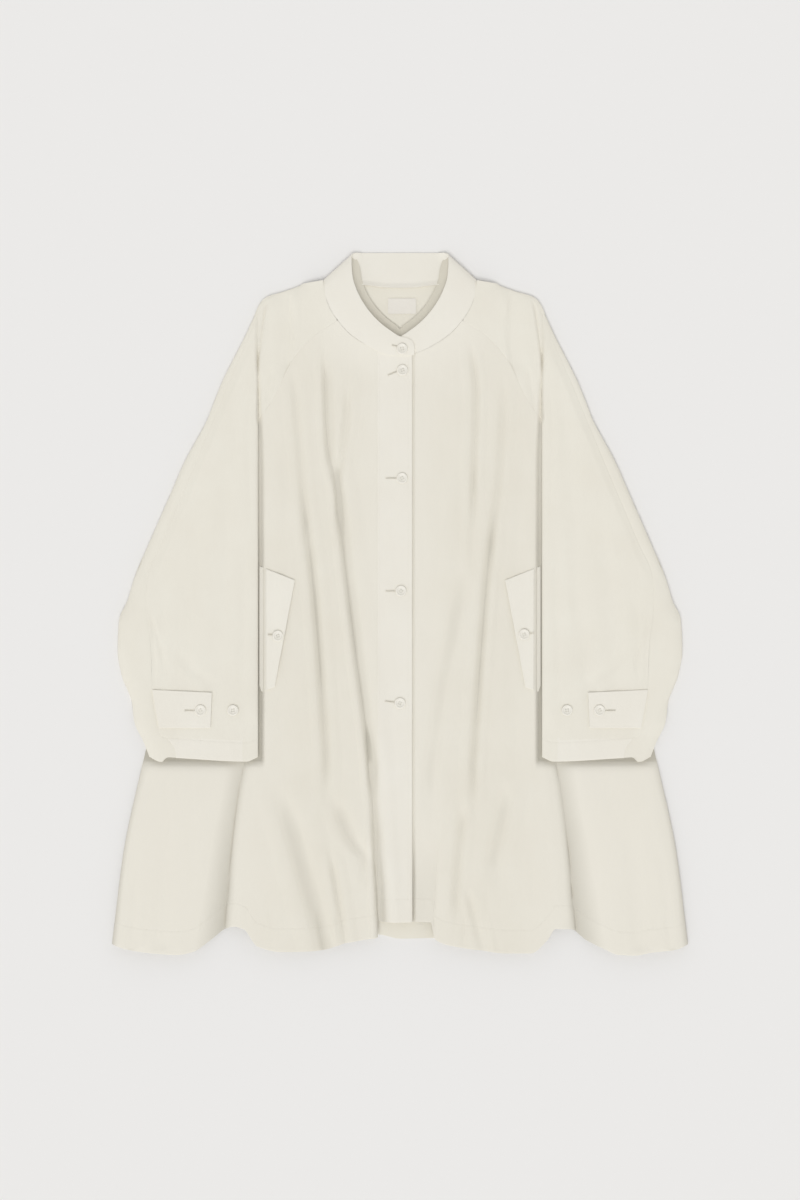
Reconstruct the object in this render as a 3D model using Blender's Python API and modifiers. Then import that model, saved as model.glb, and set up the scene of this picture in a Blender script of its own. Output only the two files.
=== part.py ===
"""A swing coat laid out flat on its back, with its sleeves drawn down beside the body.

All sizes are millimetres, X across the coat, Y towards the collar, Z up from the surface it
lies on. Each cloth piece is an open sheet through computed points, thickened by Solidify.
Outlines are given for the wearer's left half (X positive) and mirrored for the other one.
"""

import math

import bpy
import numpy as np

COAT = "swing_coat"
MM = 0.001

CLOTH = 1.5
BAND = 2.0
LABEL = 1.0
SEAM_GAP = 0.3
SEAT = 0.35
LAYER = CLOTH + SEAM_GAP
BACK_MID = CLOTH / 2
FLOOR_LAYER = BACK_MID + LAYER

PLACKET_WIDTH = 49.0
PLACKET_OUTER_X = -32.0
PLACKET_FREE_X = PLACKET_OUTER_X + PLACKET_WIDTH
PLACKET_TOP_Y = 354.0
PLACKET_HEM_Y = -454.0
PLACKET_LIFT = 2.4
PLACKET_RAMP = 18.0
UNDERLAP_START = 28.0
UNDERLAP_RAMP = 14.0

BUTTON_DIAMETER = 16.0
BUTTON_THICKNESS = 2.6
BUTTON_STEPS = 12

LABEL_SIZE = (40.0, 22.0)
LABEL_CENTRE = (3.0, 425.0)

SLEEVE_INNER_X = 203.0
SLEEVE_TOP_Y = 453.0
SLEEVE_EDGE_Z = 3.6
SLEEVE_TURN = 24.0
SLEEVE_FOLD_TURN = 20.0
SLEEVE_CAP_RAMP = 22.0
SLEEVE_ON_BODY = 24.0
SLEEVE_RAMP = 20.0
SLEEVE_COLUMNS = 11
CUFF_Y = -220.0
CUFF_LIFT_Y = -140.0
RAGLAN_FOOT_Y = 262.0
UNDERARM_Y = 255.0
UNDERARM_LIFT_Y = 283.0

# Round outer edge of a sleeve: its radius below, rise to its middle, and the clearances kept
# beside the body's side and above the turn.
EDGE_RADIUS = 6.0
EDGE_RISE = 1.9
EDGE_CLEARANCE = 0.6
KNEE_CLEARANCE = 3.5

# The body beside the sleeves, at its side edges and below the cuffs.
GUTTER_START = 33.0
GUTTER_RAMP = 18.0
MIDDLE_TURN = 20.0
LOBE_RISE = 70.0
BELOW_CUFF_Y = -240.0
BELOW_CUFF_BLEND = 45.0
SIDE_TURN = 28.0
BODY_FOOT_Y = -486.0
HEM_REACH = 90.0
CUFF_REACH = 40.0

BACK_FOOT_Y = -484.0
BACK_COLUMNS = 23
BACK_HEM_REACH = 104.0
NECK_DIP = 2.4
NECK_DIP_HALF_WIDTH = 50.0
NECK_DIP_REACH = 16.0

# Where a front's columns hang from its neck and raglan seams: at each corner of both seams,
# and in a close pair that runs down to the end of the middle panel.
FRONT_COLUMNS = [
    42.5, 52, 61.5, 71, 80, 89, 97, 105, 113, 121, 129.5, 138, 146, 154, 160, 165, 176, 184.5,
    193, 206, 222, 238, 253.85,
]
RIGHT_FRONT_COLUMNS = [32.3, *FRONT_COLUMNS]
LEFT_FRONT_COLUMNS = [-23.85, -8, 8, 16, 24, 33, *FRONT_COLUMNS]

SHELL_COLOUR = (0.82, 0.79, 0.70)
BUTTON_COLOUR = (0.78, 0.75, 0.66)
LABEL_COLOUR = (0.86, 0.83, 0.77)

# Outlines: rows of (x, y), from the collar down.
NECK_SEAM = [
    (110, 456), (107, 440), (100, 421), (89, 404), (71, 384),
    (52, 371), (33, 361), (16, 356), (0, 355),
]
FRONT_RAGLAN = [(89, 404), (121, 384), (154, 347), (176, 302), (193, 274)]
FRONT_TOP = [*NECK_SEAM[3:], *FRONT_RAGLAN[1:], (254, 256.5)]
BACK_RAGLAN = [(86, 456), (254, 255)]
BODY_SIDE = [(254, 255), (316, 0), (368, -231), (394, -352), (411, -486)]
SLEEVE_EDGE = [
    (138, 455), (163, 446), (191, 437), (200, 428), (210, 405), (223, 377),
    (238, 348), (252, 320), (264, 291), (275, 262), (306, 205), (331, 148),
    (356, 91), (380, 34), (389, 4), (401, -24), (403, -66), (397, -103),
    (383, -140), (378, -172), (366, -197), (357, -220),
]
OVERARM_SEAM = [
    (135, 455), (159, 446), (187, 437), (196, 428), (206, 405), (216, 382),
    (250, 302), (290, 205), (338, 91), (360, 38), (362, 4), (355, -66),
    (353, -122), (343, -177), (320, -210), (319, -220),
]

# Hem lines: rows of (x, y), right across the coat.
BACK_HEM = [
    (-411, -484), (-360, -487), (-317, -486), (-280, -470), (-236, -452), (-200, -470),
    (-150, -480), (-31, -473), (0, -479), (46, -478), (120, -484), (180, -484),
    (225, -454), (270, -466), (317, -486), (360, -487), (411, -484),
]
RIGHT_FRONT_HEM = [
    (-411, -486), (-386, -493), (-352, -498), (-317, -500), (-295, -496), (-272, -481),
    (-249, -464), (-236, -460), (-222, -464), (-203, -488), (-169, -496), (-112, -494),
    (-79, -484), (-32, -476),
]
LEFT_FRONT_HEM = [
    (-24, -453), (44, -454), (50, -478), (72, -487), (117, -494), (152, -498),
    (186, -498), (209, -480), (222, -463), (243, -464), (266, -480), (289, -491),
    (312, -500), (335, -501), (357, -497), (392, -493), (411, -486),
]
CUFF_HEM = [(203, -219), (219, -225), (315, -220), (332, -219), (340, -226), (357, -219)]

# Height of the middle of the cloth along the coat: (y, body, crown of the sleeve,
# lowest body cloth beside the sleeve and beside the middle panel, sleeve cloth at its inner
# fold, crest of the lobe outside the middle panel).
HEIGHTS = [
    (456, 7.0, 9.0, 7.5, 7.5, 2.6),
    (420, 6.6, 9.5, 7.0, 7.0, 2.6),
    (350, 6.2, 10.0, 5.6, 5.6, 2.6),
    (300, 6.2, 10.5, 4.0, 4.9, 2.6),
    (274, 6.2, 10.5, 2.7, 5.6, 2.6),
    (262, 6.2, 10.5, 2.6, 5.6, 2.6),
    (230, 6.2, 10.5, 2.6, 6.5, 2.6),
    (110, 6.4, 11.0, 2.6, 6.5, 2.6),
    (80, 6.5, 11.0, 2.6, 8.8, 2.6),
    (-150, 7.6, 12.5, 2.6, 8.8, 2.6),
    (-185, 8.0, 12.5, 2.6, 6.8, 2.6),
    (-240, 8.8, 13.0, 2.6, 6.8, 3.0),
    (-300, 10.5, 13.0, 3.0, 6.8, 8.6),
    (-380, 12.5, 13.0, 3.4, 6.8, 12.0),
    (-505, 14.5, 13.0, 4.2, 6.8, 14.5),
]
BODY_COLUMN, CROWN_COLUMN, LOWEST_COLUMN, INNER_FOLD_COLUMN, LOBE_COLUMN = 1, 2, 3, 4, 5

# Where the middle of a front ends below the cuff and drops to the lobe at its side.
MIDDLE_EDGE = [(222, -226), (240, -348), (255, -505)]

# Largest folds: (x, y) at the top, middle and foot, half width, depth, run-out at each end.
# A negative depth is a ridge.
FOLDS = [
    # name, x_top, y_top, x_mid, y_mid, x_foot, y_foot, half_width, depth, top_run, foot_run
    ("right_main", -108, 374, -83, 96, -24, -454, 17, 3.2, 50, 1),
    ("right_chest", -73, 318, -80, 240, -88, 181, 14, 1.2, 60, 50),
    ("right_outer", -154, 345, -139, 139, -106, -205, 18, 2.4, 70, 120),
    ("right_low_outer", -176, -245, -150, -345, -117, -450, 22, 4.0, 90, 1),
    ("right_low_inner", -97, -262, -72, -330, -49, -375, 18, 2.2, 60, 60),
    ("right_hem", -102, -338, -90, -410, -79, -476, 12, 2.4, 60, 1),
    ("left_chest", 99, 388, 109, 280, 103, 100, 16, 2.6, 50, 120),
    ("left_outer", 150, 332, 126, 26, 105, -220, 18, 2.6, 70, 90),
    ("left_inner", 100, 78, 64, -101, 43, -240, 20, 1.8, 90, 80),
    ("left_step", 52, -270, 46, -380, 40, -470, 18, 5.0, 90, 1),
    ("left_low", 93, -272, 84, -350, 79, -415, 16, 2.4, 60, 60),
    ("left_low_outer", 157, -245, 146, -300, 134, -352, 20, 2.6, 60, 60),
]

# Collar band for one half, as a ring that lies on its back: seam edge and top edge of each
# station, and their heights.
COLLAR = [
    # seam_x, seam_y, seam_z, top_x, top_y, top_z
    (0.0, 355.9, 6.6, 0.0, 380.5, 10.5),
    (16.0, 356.9, 6.6, 14.0, 389.0, 11.2),
    (32.6, 361.7, 6.4, 30.5, 402.0, 12.2),
    (51.5, 371.6, 6.4, 45.0, 418.0, 13.4),
    (70.5, 384.5, 6.6, 55.5, 434.0, 14.4),
    (88.3, 404.3, 6.8, 62.5, 449.0, 14.8),
    (99.2, 421.3, 7.0, 67.0, 463.0, 14.6),
    (106.2, 440.2, 7.2, 68.5, 476.0, 13.8),
    (108.8, 452.0, 6.6, 69.0, 487.0, 12.0),
    (108.2, 458.5, 5.2, 69.0, 494.5, 9.8),
    (105.5, 461.5, 3.8, 67.0, 499.0, 7.6),
    (98.0, 462.0, 2.8, 62.0, 501.0, 5.6),
    (82.0, 461.0, 1.9, 57.0, 501.0, 3.6),
    (66.0, 460.5, 1.3, 53.5, 501.0, 2.0),
    (51.5, 460.5, 1.0, 50.0, 501.0, 1.0),
    (20.0, 456.0, 1.0, 18.0, 501.0, 1.0),
    (0.0, 455.0, 1.0, 0.0, 501.0, 1.0),
]
COLLAR_ACROSS = 3
COLLAR_LAP = [(19.0, 356.2, 9.1, 18.0, 376.0, 12.9), (0.0, 355.9, 9.1, 0.0, 380.5, 13.0)]
COLLAR_UNDERLAP = [(-10.0, 356.3, 6.4, -9.0, 378.0, 10.0)]

# The lap end of the band lies this much higher than the other half, less at each station on.
LAP_RISE = [2.2, 1.3, 0.4]

# Pocket flap and cuff tab corners for one half: sewn top, free top, free foot, sewn foot.
FLAP_CORNERS = [(205, 55), (150, 33), (179, -119), (207, -128)]
FLAP_BRIDGE = 14.0

# Where the lower sleeve cloth rises over the hidden side of the flap, and how far.
FLAP_COVER_X = 228.0
FLAP_COVER_RAMP = 10.0
FLAP_COVER_TOP_Y = 105.0
FLAP_COVER_FOOT_Y = -172.0
ON_BODY_RISE = 2.0 * LAYER + 0.1
OVER_FLAP_RISE = LAYER + 0.4

TAB_BRIDGE = 8.0
TAB_CORNERS = [(353, -123), (268, -127), (270, -177), (343, -177)]

FRONT_BUTTONS = [(3, 363), (3.5, 333), (3, 179), (1.5, 18), (0, -142)]
FLAP_BUTTONS = {"right": (-174, -46), "left": (177, -44)}
TAB_BUTTON = (284, -152)
SPARE_BUTTON = (238, -152)


def ease(value):
    """Smooth step from 0 to 1 as the value goes from 0 to 1."""
    value = np.clip(value, 0.0, 1.0)
    return value * value * (3.0 - 2.0 * value)


def swell(value):
    """Quarter ellipse from 0 to 1, steep at first, as cloth turns over an edge."""
    value = np.clip(value, 0.0, 1.0)
    return np.sqrt(1.0 - (1.0 - value) ** 2)


def x_at(path, y):
    """X of a path of (x, y) rows at a height on the coat."""
    points = np.array(sorted(path, key=lambda point: point[1]), float)
    return np.interp(y, points[:, 1], points[:, 0])


def y_at(path, x):
    """Y of a path of (x, y) rows at a place across the coat."""
    points = np.array(sorted(path), float)
    return np.interp(x, points[:, 0], points[:, 1])


def height_row(y, column):
    """One column of HEIGHTS at a height on the coat."""
    points = np.array(sorted(HEIGHTS), float)
    return np.interp(y, points[:, 0], points[:, column])


def distance_to(path, x, y):
    """Shortest distance from each point to a path of (x, y) rows."""
    x, y = np.broadcast_arrays(np.asarray(x, float), np.asarray(y, float))
    nearest = np.full(x.shape, 1.0e6)
    for (x0, y0), (x1, y1) in zip(path[:-1], path[1:]):
        run = (x1 - x0, y1 - y0)
        along = ((x - x0) * run[0] + (y - y0) * run[1]) / (run[0] ** 2 + run[1] ** 2)
        along = np.clip(along, 0.0, 1.0)
        reach = np.hypot(x - x0 - along * run[0], y - y0 - along * run[1])
        nearest = np.minimum(nearest, reach)
    return nearest


def folds_at(x, y):
    """Sum of the fold depths at each point."""
    total = np.zeros(np.broadcast(x, y).shape)
    for row in FOLDS:
        x_top, y_top, x_mid, y_mid, x_foot, y_foot = row[1:7]
        half_width, depth, top_run, foot_run = row[7:]
        centre = np.interp(y, [y_foot, y_mid, y_top], [x_foot, x_mid, x_top])
        across = np.clip(np.abs(x - centre) / half_width, 0.0, 1.0)
        along = ease((y_top - y) / top_run) * ease((y - y_foot + foot_run) / foot_run)
        total = total + depth * (1.0 - across**2) ** 2 * along
    return total


def front_height(x, y):
    """Middle of the front cloth, lowest beside the sleeves and outside the middle panel."""
    beside = np.abs(x)
    body = height_row(y, BODY_COLUMN)
    lowest = height_row(y, LOWEST_COLUMN)
    crest = height_row(y, LOBE_COLUMN)
    upper = body + (lowest - body) * ease((beside - SLEEVE_INNER_X + GUTTER_START) / GUTTER_RAMP)
    outside = beside - x_at(MIDDLE_EDGE, y)
    middle = lowest + (body - lowest) * swell(-outside / MIDDLE_TURN)
    lobe = lowest + (crest - lowest) * ease(outside / LOBE_RISE)
    lower = np.where(outside < 0.0, middle, lobe)
    height = upper + (lower - upper) * ease((BELOW_CUFF_Y - y) / BELOW_CUFF_BLEND)
    height = height - folds_at(x, y)
    inside = x_at(BODY_SIDE, y) - beside
    height = FLOOR_LAYER + (height - FLOOR_LAYER) * swell(inside / SIDE_TURN)
    return np.maximum(height, FLOOR_LAYER)


def under_front_height(x, y):
    """Left front, which drops under the placket at the centre."""
    sunk = PLACKET_LIFT * ease((PLACKET_FREE_X + UNDERLAP_START - x) / UNDERLAP_RAMP)
    return np.maximum(front_height(x, y) - sunk, FLOOR_LAYER)


def placket_height(x, y):
    """Placket on the left front: level with the right front at its sewn edge."""
    return np.maximum(front_height(x, y), FLOOR_LAYER + PLACKET_LIFT)


def right_front_height(x, y):
    """Right front, which rises to the placket at its sewn edge."""
    near = ease((x - PLACKET_OUTER_X + PLACKET_RAMP) / PLACKET_RAMP)
    level = front_height(x, y)
    return level + (np.maximum(level, FLOOR_LAYER + PLACKET_LIFT) - level) * near


def sleeve_height(x, y):
    """Middle of the upper sleeve cloth, from the raglan seam over to the outer edge."""
    across = np.abs(x)
    crown = height_row(y, CROWN_COLUMN)
    fold = height_row(y, INNER_FOLD_COLUMN)
    body = height_row(y, BODY_COLUMN)
    tube = fold + (crown - fold) * swell((across - SLEEVE_INNER_X) / SLEEVE_FOLD_TURN)
    cap = body + (fold - body) * ease(1.0 + (across - SLEEVE_INNER_X) / SLEEVE_CAP_RAMP)
    height = np.where(across > SLEEVE_INNER_X, tube, cap)
    rise = swell(distance_to(SLEEVE_EDGE, across, y) / SLEEVE_TURN)
    return SLEEVE_EDGE_Z + (height - SLEEVE_EDGE_Z) * rise


def under_sleeve_height(x, y):
    """Lower sleeve cloth: on the body, and on the surface outside of it."""
    across = np.abs(x)
    on_body = ease((SLEEVE_ON_BODY - across + x_at(BODY_SIDE, y)) / SLEEVE_RAMP)
    lying = np.maximum(on_body, ease((CUFF_LIFT_Y - y) / SLEEVE_RAMP))
    lying = lying * ease((UNDERARM_LIFT_Y - y) / SLEEVE_RAMP)
    over_flap = ease((FLAP_COVER_X - across) / FLAP_COVER_RAMP)
    over_flap = over_flap * ease((FLAP_COVER_TOP_Y - y) / SLEEVE_RAMP)
    over_flap = over_flap * ease((y - FLAP_COVER_FOOT_Y) / SLEEVE_RAMP)
    return BACK_MID + lying * ON_BODY_RISE + over_flap * OVER_FLAP_RISE


def on_top(height, x, y, reach):
    """Highest cloth within reach of each point, so that a stiffer piece bridges hollows."""
    steps = [(i * reach, j * reach) for i in (-1, 0, 1) for j in (-1, 0, 1)]
    return np.max([height(x + dx, y + dy) for dx, dy in steps], axis=0)


def make_material(name, colour, roughness):
    material = bpy.data.materials.new(name)
    material.use_nodes = True
    shader = material.node_tree.nodes["Principled BSDF"]
    shader.inputs["Base Color"].default_value = (*colour, 1.0)
    shader.inputs["Roughness"].default_value = roughness
    shader.inputs["Metallic"].default_value = 0.0
    return material


def add_sheet(name, points, thickness, material, collection):
    """An open sheet of quads through a grid of points, thickened evenly to both sides."""
    rows, columns = points.shape[:2]
    faces = [
        (r * columns + c, (r + 1) * columns + c, (r + 1) * columns + c + 1, r * columns + c + 1)
        for r in range(rows - 1)
        for c in range(columns - 1)
    ]
    mesh = bpy.data.meshes.new(name)
    mesh.from_pydata((points.reshape(-1, 3) * MM).tolist(), [], faces)
    mesh.materials.append(material)
    mesh.shade_smooth()
    sheet = bpy.data.objects.new(name, mesh)
    collection.objects.link(sheet)
    wall = sheet.modifiers.new("wall", "SOLIDIFY")
    wall.thickness = thickness * MM
    wall.offset = 0.0
    return sheet


def drawn_to(y, line, foot, reach):
    """Heights on the coat with the last ones before the foot drawn to the hem line."""
    return y + (line - foot) * ease((foot + reach - y) / reach)


def front_points(columns, side, hem, height):
    """Grid of a front, whose columns hang from its top seams and fan out to the hem."""
    columns = np.array(columns, float)
    seam_y = y_at(FRONT_TOP, columns) - SEAM_GAP / 2
    down = np.linspace(0.0, 1.0, 9)[:, None]
    upper_y = seam_y + (UNDERARM_Y - seam_y) * down
    upper_x = np.repeat(columns[None, :], len(down), axis=0)
    rows = np.array([*np.linspace(225, -240, 8), *np.linspace(-290, BODY_FOOT_Y, 5)])[:, None]
    shares = (columns - columns[0]) / (columns[-1] - columns[0])
    edge = x_at(BODY_SIDE, rows) - SEAM_GAP / 2
    lower_x = columns[0] + (edge - columns[0]) * shares
    x = side * np.concatenate([upper_x, lower_x])
    y = np.concatenate([upper_y, np.repeat(rows, len(columns), axis=1)])
    y = drawn_to(y, y_at(hem, x), BODY_FOOT_Y, HEM_REACH)
    return np.stack([x, y, height(x, y)], axis=-1)


def add_fronts(material, collection):
    points = front_points(RIGHT_FRONT_COLUMNS, -1, RIGHT_FRONT_HEM, right_front_height)
    add_sheet("right_front", points, CLOTH, material, collection)
    points = front_points(LEFT_FRONT_COLUMNS, 1, LEFT_FRONT_HEM, under_front_height)
    add_sheet("left_front", points, CLOTH, material, collection)


def add_placket(material, collection):
    rows = np.linspace(PLACKET_TOP_Y, PLACKET_HEM_Y, 20)
    x = np.linspace(PLACKET_OUTER_X + SEAM_GAP / 2, PLACKET_FREE_X, 4)
    x, y = np.meshgrid(x, rows)
    points = np.stack([x, y, placket_height(x, y)], axis=-1)
    add_sheet("placket", points, CLOTH, material, collection)


def add_back(material, collection):
    top_y = BACK_RAGLAN[0][1]
    rows = [top_y, 440, 400, 330, UNDERARM_Y, 100, -100, -300, -380, -440, BACK_FOOT_Y]
    across = np.linspace(-1.0, 1.0, BACK_COLUMNS)
    y = np.repeat(np.array(rows, float)[:, None], len(across), axis=1)
    edge = np.where(y > UNDERARM_Y, x_at(BACK_RAGLAN, y), x_at(BODY_SIDE, y)) - SEAM_GAP / 2
    x = edge * across[None, :]
    neck_dip = NECK_DIP * (1.0 - np.clip(np.abs(x) / NECK_DIP_HALF_WIDTH, 0.0, 1.0) ** 2)
    y = y - neck_dip * ease((y - top_y + NECK_DIP_REACH) / NECK_DIP_REACH)
    y = drawn_to(y, y_at(BACK_HEM, x), BACK_FOOT_Y, BACK_HEM_REACH)
    points = np.stack([x, y, np.full_like(x, BACK_MID)], axis=-1)
    add_sheet("back", points, CLOTH, material, collection)


def sleeve_rows():
    """Heights of a sleeve's rows: at each corner of the raglan seam, then even."""
    shoulder = [SLEEVE_TOP_Y, 446, 438, 428, 415, 404, 394, 384, 365.5, 347, 325, 302, 288, 274]
    return [*shoulder, RAGLAN_FOOT_Y, 250, *np.linspace(225, CUFF_Y, 9)]


def cuff_line(across):
    return y_at(CUFF_HEM, across)


def sleeve_inner(y):
    """Neck seam, raglan seam and inner fold in one line."""
    raglan = x_at([*FRONT_RAGLAN, (SLEEVE_INNER_X, RAGLAN_FOOT_Y)], y)
    seam = np.where(y > FRONT_RAGLAN[0][1], x_at(NECK_SEAM, y), raglan)
    return np.where(y > RAGLAN_FOOT_Y, seam, SLEEVE_INNER_X)


def add_sleeve(side, name, material, collection):
    """The two halves of a raglan sleeve, sewn along the overarm seam."""
    y = np.repeat(np.array(sleeve_rows(), float)[:, None], SLEEVE_COLUMNS, axis=1)
    inner = sleeve_inner(y) + SEAM_GAP / 2
    outer = x_at(OVERARM_SEAM, y) - SEAM_GAP / 2
    x = inner + (outer - inner) * np.linspace(0.0, 1.0, SLEEVE_COLUMNS)
    y = drawn_to(y, cuff_line(x), CUFF_Y, CUFF_REACH)
    points = np.stack([side * x, y, sleeve_height(x, y)], axis=-1)
    add_sheet(f"{name}_sleeve_front", points, CLOTH, material, collection)
    points = np.array([under_sleeve_section(y) for y in sleeve_rows()])
    points[..., 1] = drawn_to(points[..., 1], cuff_line(points[..., 0]), CUFF_Y, CUFF_REACH)
    points[..., 0] *= side
    add_sheet(f"{name}_sleeve_back", points, CLOTH, material, collection)


def under_sleeve_section(y):
    """Section of the lower sleeve half: flat below, round the outer edge, up to the seam."""
    edge = float(x_at(SLEEVE_EDGE, y))
    seam = float(x_at(OVERARM_SEAM, y) + SEAM_GAP / 2 + 0.8 * ease((y - 400.0) / 30.0))
    if y > UNDERARM_Y:
        inner = float(x_at(BACK_RAGLAN, y)) + SEAM_GAP / 2
    else:
        inner = float(np.interp(y, [238, UNDERARM_Y], [SLEEVE_INNER_X + 1.0, 254.0]))
    turn = min(EDGE_RADIUS, 0.4 * (edge - inner))
    knee = min(float(x_at(BODY_SIDE, y)) + KNEE_CLEARANCE, edge - turn - 3.0)
    if y > UNDERARM_Y:
        knee = inner + 0.6 * (edge - turn - inner)
    low_x = [*np.linspace(inner, knee, 5), 0.6 * knee + 0.4 * (edge - turn), edge - turn]
    low = [(x, float(under_sleeve_height(x, y))) for x in low_x]
    low_z = low[-1][1]
    turn_z = low_z + EDGE_RISE
    under = [
        (edge - turn + turn * math.sin(a), turn_z - (turn_z - low_z) * math.cos(a))
        for a in (math.radians(40), math.radians(75))
    ]
    reach = edge - 0.4 - seam
    upper = [
        (x, max(float(sleeve_height(x, y)), turn_z + EDGE_CLEARANCE))
        for x in (edge - 0.4, edge - 0.4 - 0.4 * reach, seam)
    ]
    return [(x, y, z) for x, z in [*low, *under, *upper]]


def ruled_band(stations):
    """Points of a band between its seam edge and its top edge."""
    stations = np.array(stations, float)
    seam = stations[:, None, :3]
    top = stations[:, None, 3:]
    across = np.linspace(0.0, 1.0, COLLAR_ACROSS + 1)[None, :, None]
    return seam + (top - seam) * across


def add_collar(material, collection):
    """One band from the underlap round the back of the neck to the lap at the front."""
    rises = [*LAP_RISE, *[0.0] * len(COLLAR)]
    right_half = [
        (-seam_x, seam_y, seam_z + rise, -top_x, top_y, top_z + rise)
        for (seam_x, seam_y, seam_z, top_x, top_y, top_z), rise in zip(COLLAR[1:], rises)
    ]
    left_half = [*COLLAR_UNDERLAP, *COLLAR[:-1]]
    stations = [*COLLAR_LAP, *right_half, *reversed(left_half)]
    add_sheet("collar", ruled_band(stations), BAND, material, collection)


def patch_points(corners, rows, columns, height, side, reach):
    """Grid over a four-sided patch that lies on the cloth below it."""
    corners = np.array(corners, float)
    down = np.linspace(0.0, 1.0, rows)[:, None, None]
    across = np.linspace(0.0, 1.0, columns)[None, :, None]
    top = corners[0] + (corners[1] - corners[0]) * across
    foot = corners[3] + (corners[2] - corners[3]) * across
    flat = top + (foot - top) * down
    x = side * flat[..., 0]
    y = flat[..., 1]
    z = on_top(height, x, y, reach) + CLOTH + SEAT
    return np.stack([x, y, z], axis=-1)


def add_flaps(material, collection):
    heights = {"right": right_front_height, "left": under_front_height}
    for name, side in (("right", -1), ("left", 1)):
        points = patch_points(FLAP_CORNERS, 9, 6, heights[name], side, FLAP_BRIDGE)
        add_sheet(f"{name}_pocket_flap", points, CLOTH, material, collection)


def add_tabs(material, collection):
    for name, side in (("right", -1), ("left", 1)):
        points = patch_points(TAB_CORNERS, 5, 9, sleeve_height, side, TAB_BRIDGE)
        add_sheet(f"{name}_cuff_tab", points, CLOTH, material, collection)


def button_mesh(material):
    """A turned button's half section, its rim raised round a sunk middle and flat below."""
    radius = BUTTON_DIAMETER / 2
    profile = [
        (0.0, BUTTON_THICKNESS * 0.55),
        (radius * 0.55, BUTTON_THICKNESS * 0.55),
        (radius * 0.78, BUTTON_THICKNESS),
        (radius, BUTTON_THICKNESS * 0.5),
        (radius * 0.85, 0.0),
        (0.0, 0.0),
    ]
    mesh = bpy.data.meshes.new("button")
    edges = [(index, index + 1) for index in range(len(profile) - 1)]
    mesh.from_pydata([(r * MM, 0.0, z * MM) for r, z in profile], edges, [])
    mesh.materials.append(material)
    return mesh


def add_button(name, mesh, place, ground, collection):
    """One button standing on the highest cloth below it."""
    x, y = place
    radius = BUTTON_DIAMETER / 2
    turns = np.linspace(0.0, 2.0 * math.pi, BUTTON_STEPS, endpoint=False)
    around = ground(x + radius * np.cos(turns), y + radius * np.sin(turns))
    top = max(float(np.max(around)), float(ground(np.array(x), np.array(y))))
    button = bpy.data.objects.new(name, mesh)
    button.location = (x * MM, y * MM, (top + SEAT) * MM)
    collection.objects.link(button)
    turning = button.modifiers.new("turning", "SCREW")
    turning.angle = 2.0 * math.pi
    turning.screw_offset = 0.0
    turning.steps = BUTTON_STEPS
    turning.render_steps = BUTTON_STEPS
    turning.use_merge_vertices = True
    turning.merge_threshold = 0.00001


def add_buttons(material, collection):
    mesh = button_mesh(material)

    def on_placket(x, y):
        return placket_height(x, y) + CLOTH / 2

    def on_collar(x, y):
        _, seam_y, seam_z, _, top_y, top_z = COLLAR_LAP[1]
        along = np.clip((y - seam_y) / (top_y - seam_y), 0.0, 1.0)
        return seam_z + (top_z - seam_z) * along + BAND / 2 + 0.0 * x

    def on_flap(x, y):
        height = right_front_height if np.mean(x) < 0 else under_front_height
        return on_top(height, x, y, FLAP_BRIDGE) + CLOTH * 1.5 + SEAT

    def on_tab(x, y):
        return on_top(sleeve_height, x, y, TAB_BRIDGE) + CLOTH * 1.5 + SEAT

    def on_sleeve(x, y):
        return sleeve_height(x, y) + CLOTH / 2

    for number, place in enumerate(FRONT_BUTTONS, start=1):
        ground = on_collar if number == 1 else on_placket
        add_button(f"front_button_{number}", mesh, place, ground, collection)
    for name, side in (("right", -1), ("left", 1)):
        add_button(f"{name}_pocket_button", mesh, FLAP_BUTTONS[name], on_flap, collection)
        place = (side * TAB_BUTTON[0], TAB_BUTTON[1])
        add_button(f"{name}_tab_button", mesh, place, on_tab, collection)
        place = (side * SPARE_BUTTON[0], SPARE_BUTTON[1])
        add_button(f"{name}_spare_button", mesh, place, on_sleeve, collection)


def add_label(material, collection):
    """A bare woven label on the inside of the back, below the collar seam."""
    x = LABEL_CENTRE[0] + np.array([-0.5, 0.5]) * LABEL_SIZE[0]
    y = LABEL_CENTRE[1] + np.array([0.5, -0.5]) * LABEL_SIZE[1]
    x, y = np.meshgrid(x, y)
    z = np.full_like(x, CLOTH + SEAM_GAP + LABEL / 2)
    add_sheet("neck_label", np.stack([x, y, z], axis=-1), LABEL, material, collection)


def main():
    for old in list(bpy.data.objects):
        bpy.data.objects.remove(old, do_unlink=True)
    collection = bpy.data.collections.new(COAT)
    bpy.context.scene.collection.children.link(collection)
    shell = make_material("shell_cloth", SHELL_COLOUR, 0.75)
    buttons = make_material("button_resin", BUTTON_COLOUR, 0.35)
    label = make_material("label_tape", LABEL_COLOUR, 0.8)

    add_back(shell, collection)
    add_fronts(shell, collection)
    add_placket(shell, collection)
    add_sleeve(-1, "right", shell, collection)
    add_sleeve(1, "left", shell, collection)
    add_collar(shell, collection)
    add_flaps(shell, collection)
    add_tabs(shell, collection)
    add_buttons(buttons, collection)
    add_label(label, collection)


main()
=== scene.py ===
"""The looks of a swing coat that lies flat on its back, seen from straight above.

Lengths below are millimetres in the coat's own frame: X across, Y towards the collar and Z up
from the surface. Each cloth piece is a fine grid of computed points with a thin wall.
"""

import math

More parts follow.
